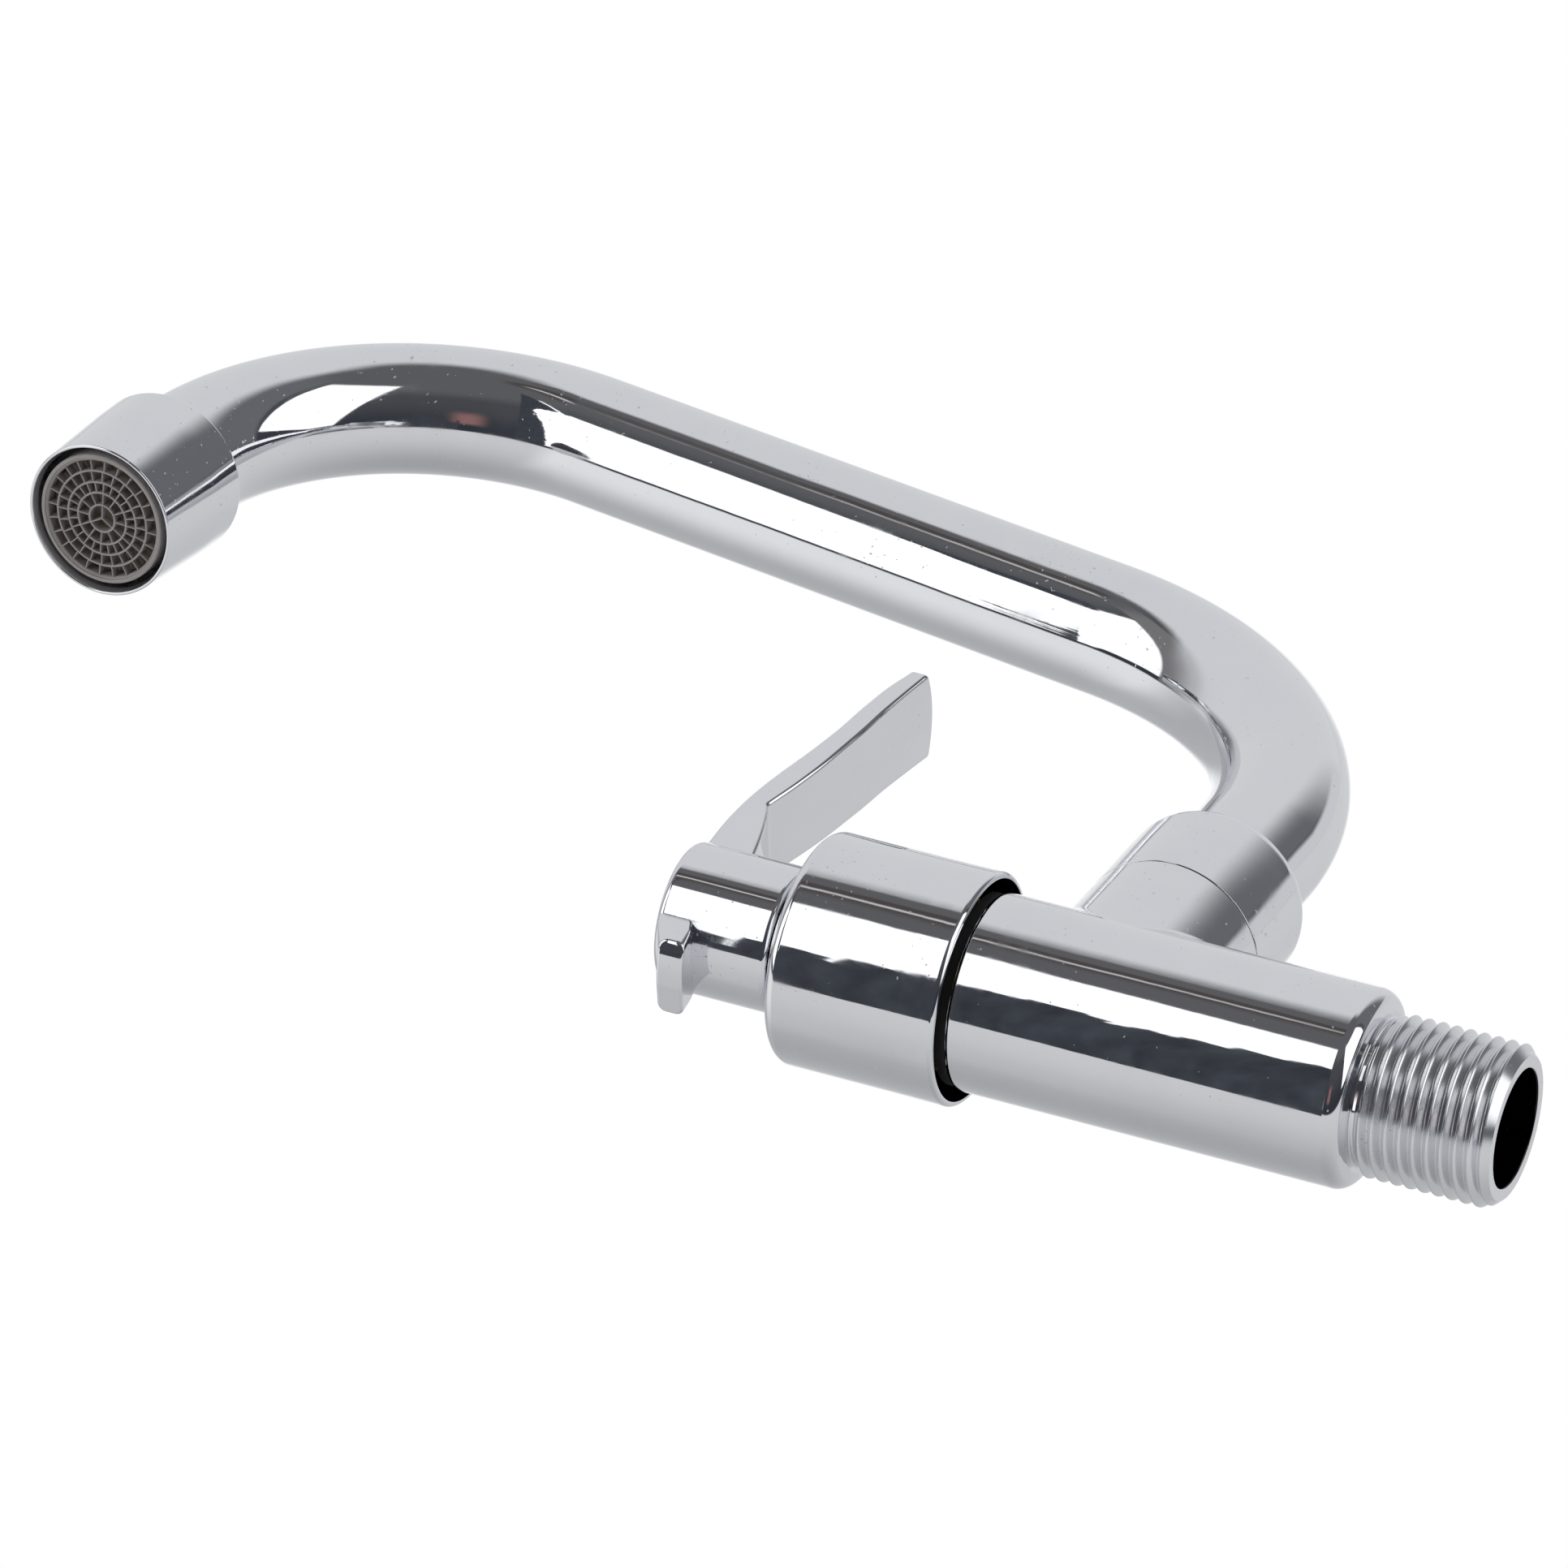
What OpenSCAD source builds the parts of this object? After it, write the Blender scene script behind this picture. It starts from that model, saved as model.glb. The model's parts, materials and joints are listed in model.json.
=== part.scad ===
// Wall-mounted kitchen tap with a quarter-turn lever valve and a swivelling swan spout.
// Frame: the inlet axis is Y and the wall thread points along +Y. The origin is where that axis
// meets the shoulder plane that faces the wall. +Z is up, and -Y comes out towards the user.
// Pieces on the inlet axis are drawn along their distance in front of the shoulder ("out").

/* [Inlet thread] */
// Major diameter of the male wall thread, half inch pipe size
thread_d = 20.955; // [20:0.005:22]
// Length of the thread from the shoulder to its end face
thread_len = 18.3; // [14:0.1:24]
// Width of the relief groove between the thread and the shoulder
relief_w = 1.4; // [0.8:0.1:2]
// Depth of the thread below its major diameter
thread_depth = 1.16; // [0.8:0.01:1.3]
// Lead chamfer on the end of the thread
thread_chamfer = 1.3; // [0.6:0.1:1.8]
// Diameter of the inlet bore
inlet_bore_d = 15.2; // [13:0.1:16]
// Depth of the inlet bore in front of the shoulder
inlet_bore_len = 12; // [6:0.5:14]
// Step of the bore's radius down to the valve seat
seat_step = 1.7; // [1.2:0.1:2.2]

/* [Body casting] */
// Diameter of the horizontal barrel
barrel_d = 25.6; // [25:0.1:28]
// Rounding of the barrel's rear edge
barrel_round = 2; // [0.5:0.1:2]
// Chamfer of the barrel's front edge
front_chamfer = 0.5; // [0.2:0.1:1]
// Distance from the shoulder to the spout's swivel axis
spout_out = 36.7; // [34:0.1:48]
// Distance from the swivel axis to the barrel's front end
front_len = 15.8; // [14:0.1:22]
// Diameter of the branch that carries the spout
branch_d = 24.6; // [24:0.1:25]
// Height of the branch's top face above the inlet axis
branch_h = 21.2; // [20:0.1:24]

/* [Swivel joint] */
// Major diameter of the thread that the swivel nut screws on
nipple_d = 21.8; // [21.4:0.1:22]
// Height of that threaded nipple above the branch
nipple_h = 8.3; // [6:0.1:9]
// Diameter of the bore in which the spout's plug turns
socket_d = 17.2; // [16.6:0.1:17.6]
// Depth of the plug in its bore
plug_len = 15.5; // [13:0.1:15.8]
// Diameter of the collar that holds the spout down
collar_d = 20.4; // [20:0.1:20.8]
// Thickness of that collar
collar_h = 2.2; // [1.6:0.1:3]
// Length of the spigot above the collar, on which the tube is brazed
spigot_len = 8; // [6:0.5:10]
// Thickness of the slip washer under the collar
slip_washer_t = 0.8; // [0.5:0.1:1.2]
// Thickness of the split slip ring above the collar
slip_ring_t = 1.8; // [1.2:0.1:2.4]
// Outer diameter of the swivel nut
nut_d = 24.8; // [24.6:0.1:26]
// Radius of the nut's rounded top edge
nut_round = 3; // [1:0.1:3.1]
// Thickness of the nut's roof
nut_roof = 4.4; // [3.2:0.1:6]
// Seam left open between the nut and the branch
nut_seam = 0.2; // [0.1:0.05:0.3]
// Cord of the two swivel O-rings
spout_oring_t = 1.9; // [1.6:0.1:2]

/* [Spout tube] */
// Outer diameter of the spout tube
tube_d = 18; // [17.8:0.1:18.2]
// Wall of the spout tube
tube_wall = 1; // [0.8:0.1:1.2]
// Height of the first bend's start above the inlet axis
rise_top = 50.7; // [46:0.1:70]
// Centreline radius of the first bend
bend1_r = 48; // [30:0.5:60]
// Angle of the first bend
bend1_a = 80.3; // [70:0.1:90]
// Length of the sloping straight
slope_len = 83.2; // [20:0.1:140]
// Centreline radius of the second bend
bend2_r = 38.9; // [25:0.1:50]
// Angle of the second bend
bend2_a = 96.2; // [80:0.1:110]
// Straight end of the tube after the second bend
tube_end = 8; // [6.5:0.1:10]
// Angle of the spout at rest, away from square to the wall
spout_yaw = 1.4; // [-5:0.1:5]

/* [Aerator] */
// Outer diameter of the aerator housing
aer_d = 23; // [22.8:0.1:24]
// Length of the aerator housing
aer_len = 17.9; // [17:0.1:20]
// Distance from the bend to the housing's upper edge
aer_start = 3.5; // [3:0.1:4]
// Diameter of the housing's mouth
aer_mouth_d = 20.2; // [19.6:0.1:20.4]
// Chamfer of the housing's upper edge
aer_chamfer = 0.3; // [0.1:0.1:0.5]
// Rounding of the housing's rolled mouth
aer_round = 0.7; // [0.3:0.1:0.7]
// Distance from the housing's upper edge to the outlet nipple
nipple_gap = 0.6; // [0.3:0.1:1]
// Major diameter of the thread on the outlet nipple
outlet_thread_d = 21.4; // [21:0.1:21.5]
// Length of the outlet nipple
outlet_nipple_len = 6; // [5:0.1:6]
// Thickness of the aerator's rubber washer
aer_washer_t = 1.6; // [1:0.1:2]
// Diameter of the plastic core
core_d = 18.6; // [18:0.1:19]
// Recess of the core behind the mouth
core_recess = 0.9; // [0.3:0.1:1.5]
// Thickness of the core's flange
core_flange_t = 1.2; // [0.8:0.1:1.6]
// Width of the core's flat rim round the grille
core_rim = 0.5; // [0.3:0.1:0.8]
// Depth of the grille below that rim
grille_recess = 0.3; // [0:0.1:0.6]
// Depth of the grille's walls
grille_depth = 2; // [1:0.1:3]
// Thickness of the grille's ring walls
grille_ring_t = 0.4; // [0.3:0.05:0.5]
// Thickness of the grille's radial ribs
grille_rib_t = 0.3; // [0.2:0.05:0.4]
// Number of ribs in each outer ring of the grille
grille_ribs = 24; // [12:2:30]

// Thickness of the screen behind the grille, and width of its wires
screen_t = 0.6; // [0.4:0.1:0.8]
// Gap between the screen and the grille
screen_gap = 0.3; // [0.1:0.1:0.6]
// Thickness of the diffuser plate
diffuser_t = 1; // [0.8:0.1:1.4]
// Distance from the core's upper end down to the diffuser
diffuser_in = 0.8; // [0.4:0.1:1.2]
// Diameter of the diffuser's holes
diffuser_hole_d = 1; // [0.6:0.1:1.2]

/* [Valve cartridge] */
// Distance from the barrel's front end back to the valve seat
seat_depth = 26.5; // [25.5:0.1:28]
// Height of the rubber seat seal
seal_h = 2.4; // [1.8:0.1:3]
// Diameter of the ceramic discs
disc_d = 15.8; // [15:0.1:15.8]
// Thickness of each ceramic disc
disc_t = 3.2; // [2.5:0.1:3.5]
// Outer diameter of the cartridge's nose
nose_d = 17.8; // [17.6:0.1:18.4]
// Diameter of the cavity round the nose
cavity_d = 19.2; // [18.8:0.1:19.4]
// Width of the two side windows in the nose
window_w = 10; // [8:0.5:11]
// Major diameter of the cartridge's thread in the body
headwork_d = 20.8; // [20.4:0.1:20.9]
// Width of the cartridge's hexagon across flats
hex_af = 22; // [21:0.5:24]
// Height of the hexagon
hex_h = 6; // [4:0.5:8]
// Outer diameter of the gasket under the hexagon
gasket_d = 24.8; // [23:0.1:26]
// Thickness of that gasket
gasket_t = 1.6; // [1:0.1:2]
// Diameter of the cartridge's neck, which carries the cover
neck_d = 17.6; // [15:0.1:17.8]
// Diameter of the spindle
spindle_d = 8; // [7:0.1:9]
// Running clearance of the spindle in its bore
spindle_clear = 0.05; // [0.03:0.01:0.08]
// Cord of the two spindle O-rings
spindle_oring_t = 1.6; // [1.2:0.1:1.8]

/* [Bonnet cover] */
// Outer diameter of the bonnet cover
cover_d = 30.3; // [30:0.1:32]
// Wall of the bonnet cover
cover_wall = 0.95; // [0.8:0.05:1.2]
// Gap between the barrel and the cover's open rim
cover_gap = 1.05; // [0.6:0.05:1.4]
// Length of the cover without its collar
cover_len = 22.2; // [21:0.1:24]
// Thickness of the cover's front wall
cover_front_t = 2.5; // [2:0.1:3]
// Rounding of the cover's front edge
cover_round = 1.5; // [0.5:0.1:1.8]
// Diameter of the collar in front of the cover
cover_collar_d = 20; // [19:0.1:21]
// Length of that collar
cover_collar_len = 3; // [2:0.1:4]

/* [Lever] */
// Diameter of the lever's hub
hub_d = 19; // [18:0.1:20]
// Running gap between the hub and the cover's collar
hub_gap = 0.4; // [0.3:0.05:0.8]
// Length of the hub
hub_len = 15.2; // [14:0.1:18]
// Rounding of the hub's front edge
hub_round = 0.8; // [0.3:0.1:1]
// Length of the lever from the hub's axis to its tip
lever_len = 53.8; // [45:0.1:70]
// Width of the lever at its root
lever_root_w = 11.2; // [9:0.1:13]
// Width of the lever at its tip
lever_tip_w = 13.1; // [10:0.1:16]
// How far the tip sweeps back towards the wall
lever_sweep = 8.6; // [4:0.1:12]
// Thickness of the blade where it leaves the root
lever_t = 3.8; // [3:0.1:5]
// Thickness of the blade at its tip
lever_tip_t = 2.5; // [2:0.1:3.5]
// Thickness of the root where it meets the hub
lever_root_t = 6.5; // [5:0.1:8]
// Height of the crease between the root and the blade
lever_crease = 18.8; // [16:0.1:22]
// Rise of the rounded tip between its corners
lever_crown = 1.5; // [0.5:0.1:3]
// Length of the short tail below the hub's axis
tail_len = 13.4; // [11:0.1:16]
// Width of the tail at its end
tail_w = 10.2; // [8:0.1:12]
// Thickness of the tail
tail_t = 4.6; // [3.5:0.1:6]
// Lean of the closed lever from upright
lever_lean = 8; // [-10:0.5:15]
// Number of spline teeth on the spindle
spline_teeth = 20; // [16:2:24]
// Distance from the lever's front face to the end of the spindle
spindle_in = 6.2; // [5.8:0.1:7]
// Diameter of the screw that holds the lever
screw_d = 4; // [3:0.5:5]
// Length of that screw inside the spindle
screw_len = 8; // [6:0.5:10]
// Diameter of the screw's head
screw_head_d = 7; // [6:0.1:8]
// Height of the screw's head
screw_head_t = 2.2; // [1.6:0.1:2.6]
// Thickness of the web under the screw's head
lever_web = 1; // [0.8:0.1:1.4]
// Diameter of the cap in the lever's front
cap_d = 10.4; // [9:0.1:12]
// How far the cap stands out of the lever's front
cap_proud = 0.4; // [-0.3:0.1:0.8]

/* [Fits] */
// Gap between faces that slide on each other
slide = 0.1; // [0.06:0.01:0.2]
// Gap between pieces that are screwed or pushed together
fit = 0.05; // [0.03:0.01:0.08]

/* [Hidden] */
$fn = 96;
eps = 0.01;
let_in = 0.05;                                  // step where the tube's straight ends run into its bends

thread_r = thread_d / 2;
barrel_r = barrel_d / 2;
branch_r = branch_d / 2;
inlet_r = inlet_bore_d / 2;
seat_r = inlet_r - seat_step;
barrel_len = spout_out + front_len;
seat_out = barrel_len - seat_depth;

// heights on the swivel axis
nipple_top = branch_h + nipple_h;
collar_z = nipple_top + slip_washer_t + 2 * slide;
collar_top = collar_z + collar_h;
ring_z = collar_top + slide;
nut_shelf = ring_z + slip_ring_t + slide;
nut_top = nut_shelf + nut_roof;
plug_z = nipple_top - plug_len;
socket_z = plug_z - 1;
socket_r = socket_d / 2;
plug_r = socket_r - 0.1;
plug_bore_r = plug_r - 2.2;
tube_r = tube_d / 2;
tube_bore_r = tube_r - tube_wall;
oring_zs = [plug_z + 2.5, plug_z + 7.5];

// places on the inlet axis, measured out from the shoulder
disc1_out = seat_out + seal_h;
disc2_out = disc1_out + disc_t + fit / 2;
drive_out = disc2_out + disc_t + fit / 2;
drive_t = 2.6;
nose_bore_r = disc_d / 2 + fit;
nose_end = drive_out + drive_t + 0.6;
port_out = disc2_out + 0.4;
headwork_out = nose_end + 1.4;
cavity_end = headwork_out - 0.6;
gasket_out = barrel_len;
hex_out = gasket_out + gasket_t;
cover_out = barrel_len + cover_gap;
cover_front = cover_out + cover_len;
collar_front = cover_front + cover_collar_len;
neck_end = collar_front - 1.8;
hub_out = collar_front + hub_gap;
hub_front = hub_out + hub_len;
spindle_r = spindle_d / 2;
spline_r = spindle_r - 0.1;
spline_out = hub_out + 1.2;
spline_end = hub_front - spindle_in;
web_end = spline_end + lever_web;
cap_back = web_end + screw_head_t + 0.6;
spindle_oring_outs = [hex_out + 1.5, hex_out + 6];
circlip_out = neck_end + 0.35;

// the outlet, measured along the flow from the end of the second bend
outlet_a = bend1_a + bend2_a;
aer_end = aer_start + aer_len;
nipple_w = aer_start + nipple_gap;
nipple_w_end = nipple_w + outlet_nipple_len;
washer_w = nipple_w_end + fit;
flange_w = washer_w + aer_washer_t + fit;
lip_w = flange_w + core_flange_t + fit;
core_end = aer_end - core_recess;
mouth_r = aer_mouth_d / 2;
core_r = core_d / 2;
outlet_thread_r = outlet_thread_d / 2;
grille_rs = [core_r * 0.9, core_r * 0.74, core_r * 0.565, core_r * 0.4, core_r * 0.21];

// Draws along the inlet axis: local z is the distance out from the shoulder, local y is up.
module out_axis() rotate([90, 0, 0]) children();

// Draws on the spout's swivel axis, with local x pointing along the spout.
module spout_frame() translate([0, -spout_out, 0]) rotate([0, 0, spout_yaw - 90]) children();

// Draws at the end of the second bend, with local z along the flow.
module outlet_frame()
    spout_frame()
    translate([outlet_x, 0, outlet_z])
    rotate([0, outlet_a, 0])
    children();

outlet_x = bend1_r * (1 - cos(bend1_a)) + slope_len * sin(bend1_a)
    + bend2_r * (cos(bend1_a) - cos(outlet_a));
outlet_z = rise_top + bend1_r * sin(bend1_a) + slope_len * cos(bend1_a)
    + bend2_r * (sin(outlet_a) - sin(bend1_a));

// A ring between two radii, from one height to another.
module ring(ro, ri, z0, z1) {
    difference() {
        translate([0, 0, z0]) cylinder(r = ro, h = z1 - z0);
        translate([0, 0, z0 - 1]) cylinder(r = ri, h = z1 - z0 + 2);
    }
}

// A turned rod with a 45 degree chamfer at each end.
module rod(r, z0, z1, c0 = 0, c1 = 0) {
    rotate_extrude()
        polygon([[0, z0], [r - c0, z0], [r, z0 + c0], [r, z1 - c1], [r - c1, z1], [0, z1]]);
}

// An O-ring with its centre circle at radius r.
module oring(r, t, z) {
    translate([0, 0, z]) rotate_extrude() translate([r, 0]) circle(d = t, $fn = 48);
}

// Outline of a spline shaft with straight-sided teeth.
function spline_points(r, depth, n) = [
    for (i = [0:n - 1], k = [0:3])
        let (a = (i + [0, 0.35, 0.5, 0.85][k]) * 360 / n, q = k < 2 ? r : r - depth)
            [q * cos(a), q * sin(a)]];

// Two opposite openings through a ceramic disc.
module disc_ports(turn, z0, h) {
    for (side = [0, 180]) rotate([0, 0, turn + side]) translate([0, 0, z0])
        linear_extrude(h) intersection() {
            difference() {
                circle(r = disc_d / 2 - 1.4);
                circle(r = 1.4);
            }
            polygon([[0, 0], [disc_d, -disc_d * 0.8], [disc_d, disc_d * 0.8]]);
        }
}

// The casting: threaded inlet, barrel, and the branch with the nipple that carries the spout.
module tap_body() {
    color([0.80, 0.81, 0.83])
    difference() {
        union() {
            out_axis() rotate_extrude() barrel_profile();
            translate([0, -spout_out, 0]) {
                cylinder(r = branch_r, h = branch_h);
                cylinder(r = nipple_d / 2 - 1, h = branch_h + 1.2);
                rod(nipple_d / 2, branch_h + 1, nipple_top, 0.6, 0.8);
            }
        }
        // inlet, seat passage, cavity and the cartridge's thread
        out_axis() {
            translate([0, 0, -thread_len - 1]) cylinder(r = inlet_r, h = thread_len + 1 + inlet_bore_len);
            translate([0, 0, inlet_bore_len - eps])
                cylinder(r1 = inlet_r + eps, r2 = seat_r, h = seat_step + eps);
            translate([0, 0, inlet_bore_len]) cylinder(r = seat_r, h = seat_out - inlet_bore_len + 1);
            translate([0, 0, seat_out]) cylinder(r = cavity_d / 2, h = cavity_end - seat_out);
            translate([0, 0, cavity_end - eps])
                cylinder(r = headwork_d / 2 + fit, h = barrel_len - cavity_end + 1);
        }
        // way up into the spout
        translate([0, -spout_out, 0]) cylinder(r = plug_bore_r, h = nipple_top);
        translate([0, -spout_out, socket_z]) cylinder(r = socket_r, h = nipple_top);
    }
}

module barrel_profile() {
    c = thread_chamfer;
    root = thread_r - thread_depth;
    polygon([
        [0, -thread_len], [thread_r - c, -thread_len], [thread_r, -thread_len + c],
        [thread_r, -relief_w - thread_depth], [root, -relief_w], [root, 1], [0, 1]]);
    translate([0, 0]) square([barrel_r - barrel_round, barrel_len]);
    translate([0, barrel_round]) square([barrel_r, barrel_len - barrel_round - front_chamfer]);
    translate([barrel_r - barrel_round, barrel_round]) circle(r = barrel_round);
    polygon([[0, barrel_len - 2], [barrel_r, barrel_len - 2], [barrel_r, barrel_len - front_chamfer],
        [barrel_r - front_chamfer, barrel_len], [0, barrel_len]]);
}

// Rubber seal between the valve seat and the fixed disc.
module seat_seal() {
    color([0.12, 0.12, 0.12])
    out_axis() ring(disc_d / 2, seat_r, seat_out, seat_out + seal_h);
}

// Cartridge body: a nose for the discs, a thread, a hexagon, and a neck for the cover.
module valve_housing() {
    neck_r = neck_d / 2;
    color([0.78, 0.66, 0.38])
    out_axis() difference() {
        union() {
            rod(nose_d / 2, seat_out + 0.3, headwork_out + 1, 0.4, 0);
            rod(headwork_d / 2, headwork_out, barrel_len - 1.2, 0.8, 0.8);
            rod(headwork_d / 2 - 1, barrel_len - 2, hex_out + 1);
            translate([0, 0, hex_out]) cylinder(d = hex_af / cos(30), h = hex_h, $fn = 6);
            rod(neck_r, hex_out + hex_h - 1, neck_end, 0, 0.6);
        }
        // disc chamber and its two side windows, which face up and down
        translate([0, 0, seat_out - 1]) cylinder(r = nose_bore_r, h = nose_end - seat_out + 1);
        translate([-window_w / 2, -cavity_d, port_out])
            cube([window_w, 2 * cavity_d, nose_end - port_out - 0.8]);
        // spindle bore with the two seals' glands
        cylinder(r = spindle_r + spindle_clear, h = neck_end + 1);
        for (u = spindle_oring_outs)
            translate([0, 0, u - spindle_oring_t * 0.7])
                cylinder(r = spindle_r + 0.1, h = spindle_oring_t * 1.4);
    }
}

module housing_gasket() {
    color([0.1, 0.1, 0.1])
    out_axis() ring(gasket_d / 2, headwork_d / 2 - 1 + slide, gasket_out, gasket_out + gasket_t);
}

module fixed_disc() {
    color([0.95, 0.94, 0.9])
    out_axis() difference() {
        translate([0, 0, disc1_out]) cylinder(d = disc_d, h = disc_t);
        disc_ports(0, disc1_out - 1, disc_t + 2);
    }
}

module moving_disc() {
    color([0.90, 0.90, 0.88])
    out_axis() difference() {
        translate([0, 0, disc2_out]) cylinder(d = disc_d, h = disc_t);
        disc_ports(90, disc2_out - 1, disc_t + 2);
    }
}

// The spindle has a plate that drives the moving disc, two O-ring grooves, a groove for its
// circlip in front of the housing, and a splined end with a tapped hole.
module spindle() {
    groove_r = spindle_r - spindle_oring_t + 0.09;
    color([0.80, 0.68, 0.40])
    lever_frame() difference() {
        union() {
            rod(disc_d / 2 - 0.6, drive_out, drive_out + drive_t, 0.3, 0.3);
            rod(spindle_r, drive_out + 1, spline_out);
            translate([0, 0, spline_out - 0.5])
                linear_extrude(spline_end - spline_out + 0.5)
                    polygon(spline_points(spline_r, 0.35, spline_teeth));
        }
        for (u = spindle_oring_outs)
            ring(spindle_r + 1, groove_r, u - spindle_oring_t * 0.6, u + spindle_oring_t * 0.6);
        ring(spindle_r + 1, spindle_r - 0.5, circlip_out, circlip_out + 0.8);
        translate([0, 0, spline_end - screw_len - 2]) cylinder(d = screw_d + 2 * fit, h = screw_len + 4);
    }
}

module spindle_oring(u) {
    color([0.08, 0.08, 0.08])
    out_axis() oring(spindle_r + 0.02 - spindle_oring_t / 2 + 0.05, spindle_oring_t - 0.1, u);
}

module thrust_washer() {
    color([0.93, 0.93, 0.91])
    out_axis() ring(nose_bore_r - 0.2, spindle_r + 0.1,
        drive_out + drive_t + fit, drive_out + drive_t + 0.5);
}

module circlip() {
    color([0.35, 0.35, 0.37])
    out_axis() difference() {
        ring(spindle_r + 1.3, spindle_r - 0.45, circlip_out + fit, circlip_out + 0.75);
        translate([-1.2, 0, circlip_out - 1]) cube([2.4, spindle_d, 3]);
    }
}

// Thin cover over the barrel's front end, screwed on the cartridge's neck.
module bonnet_cover() {
    r = cover_d / 2;
    rb = cover_collar_d / 2;
    color([0.80, 0.81, 0.83])
    out_axis() difference() {
        rotate_extrude() {
            translate([0, cover_out]) square([r, cover_len - cover_round]);
            translate([0, cover_out]) square([r - cover_round, cover_len]);
            translate([r - cover_round, cover_front - cover_round]) circle(r = cover_round);
            translate([0, cover_front - 1]) square([rb, cover_collar_len + 1]);
        }
        translate([0, 0, cover_out - 1])
            cylinder(r = r - cover_wall, h = cover_len - cover_front_t + 1);
        // thread on the cartridge's neck, and the hole for the spindle
        translate([0, 0, cover_out]) cylinder(r = neck_d / 2 + fit, h = neck_end + fit - cover_out);
        translate([0, 0, cover_out]) cylinder(r = spindle_r + 2, h = cover_len + cover_collar_len + 1);
    }
}

// Draws in the lever's frame: local x is across the lever, local y is up along it.
module lever_frame() out_axis() rotate([0, 0, -lever_lean]) children();

// Front face of the lever as [height, distance out]. It falls back by lever_sweep in two waves.
function lever_front(h) =
    let (t = max(0, (h - 11) / (lever_len - 11)))
        hub_front - (h < 0 ? 2.2 * pow(h / tail_len, 2) : 0)
            - lever_sweep * (t - 0.055 * sin(360 * t) * (1 - t) - 0.042 * (1 - cos(720 * t)));

// Thickness of the lever: the root narrows quickly to the crease, then the blade tapers slowly.
function lever_thick(h) =
    h < lever_crease
        ? let (t = (h - 8) / (lever_crease - 8))
            lever_root_t + (lever_t - 0.4 - lever_root_t) * (1 - pow(1 - max(0, t), 2.2))
        : let (t = (h - lever_crease) / (lever_len - lever_crease))
            lever_t + (lever_tip_t - lever_t) * t - 0.4 * exp(-h + lever_crease);

module lever_side() {
    up = [for (i = [0:36]) 8 + (lever_len - 8) * i / 36];
    down = [for (i = [0:8]) 8 - (tail_len + 8) * i / 8];
    polygon(concat(
        [for (h = up) [h, lever_front(h)]],
        [for (i = [36:-1:0]) [up[i], lever_front(up[i]) - lever_thick(up[i])]],
        [[8, hub_front - tail_t - 1.6], [-tail_len / 2, hub_front - tail_t - 1.2],
            [-tail_len, lever_front(-tail_len) - tail_t + 0.2]],
        [for (i = [8:-1:1]) [down[i], lever_front(down[i])]]));
}

module lever_outline() {
    root = lever_root_w / 2;
    tip = lever_tip_w / 2;
    crown_r = (tip * tip + lever_crown * lever_crown) / (2 * lever_crown);
    intersection() {
        polygon([[-root, 0], [-root - 0.1, lever_crease], [-tip, lever_len], [tip, lever_len],
            [root + 0.1, lever_crease], [root, 0], [tail_w / 2, -tail_len + 0.4], [0, -tail_len],
            [-tail_w / 2, -tail_len + 0.4]]);
        union() {
            translate([0, lever_len - crown_r]) circle(r = crown_r);
            translate([-lever_tip_w, -tail_len - 1])
                square([2 * lever_tip_w, tail_len + 1 + max(lever_len - crown_r, lever_len / 2)]);
        }
    }
}

module lever_handle() {
    color([0.80, 0.81, 0.83])
    lever_frame() difference() {
        union() {
            rotate_extrude() {
                translate([0, hub_out]) square([hub_d / 2, hub_len - hub_round - 0.2]);
                translate([0, hub_out]) square([hub_d / 2 - hub_round, hub_len - 0.2]);
                translate([hub_d / 2 - hub_round, hub_front - 0.2 - hub_round])
                    circle(r = hub_round);
            }
            intersection() {
                translate([0, 0, hub_out]) linear_extrude(hub_len + 2) lever_outline();
                translate([-lever_tip_w, 0, 0]) rotate([90, 0, 90])
                    linear_extrude(2 * lever_tip_w) lever_side();
            }
        }
        translate([0, 0, hub_out - 1]) linear_extrude(spline_end - hub_out + 1.2)
            polygon(spline_points(spline_r + fit, 0.35, spline_teeth));
        translate([0, 0, hub_out - 1]) cylinder(r = spindle_r + fit, h = spline_out - hub_out + 1 + fit);
        translate([0, 0, hub_out]) cylinder(d = screw_d + 0.4, h = hub_len);
        translate([0, 0, web_end]) cylinder(d = cap_d, h = hub_len);
    }
}

module handle_screw() {
    color([0.62, 0.62, 0.64])
    out_axis() difference() {
        union() {
            translate([0, 0, spline_end - screw_len]) cylinder(d = screw_d, h = screw_len + 2 * lever_web);
            rod(screw_head_d / 2, web_end + fit, web_end + screw_head_t, 0, 0.3);
        }
        translate([0, 0, web_end + 0.8]) cylinder(d = 2.9, h = 3, $fn = 6);
    }
}

module handle_cap() {
    color([0.78, 0.79, 0.81])
    out_axis() rod(cap_d / 2 - fit, cap_back, hub_front + cap_proud, 0.3, 0.4);
}

// Plain washer that the spout's collar rests on.
module slip_washer() {
    color([0.93, 0.93, 0.91])
    translate([0, -spout_out, 0])
        ring(collar_d / 2, plug_r + 0.15, nipple_top + slide / 2, nipple_top + slide / 2 + slip_washer_t);
}

// Split ring between the collar and the nut's roof.
module slip_ring() {
    color([0.93, 0.93, 0.91])
    translate([0, -spout_out, 0]) difference() {
        ring(collar_d / 2 + 0.2, tube_r + 0.15, ring_z, ring_z + slip_ring_t);
        translate([-0.5, 0, ring_z - 1]) cube([1, collar_d, slip_ring_t + 2]);
    }
}

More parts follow.
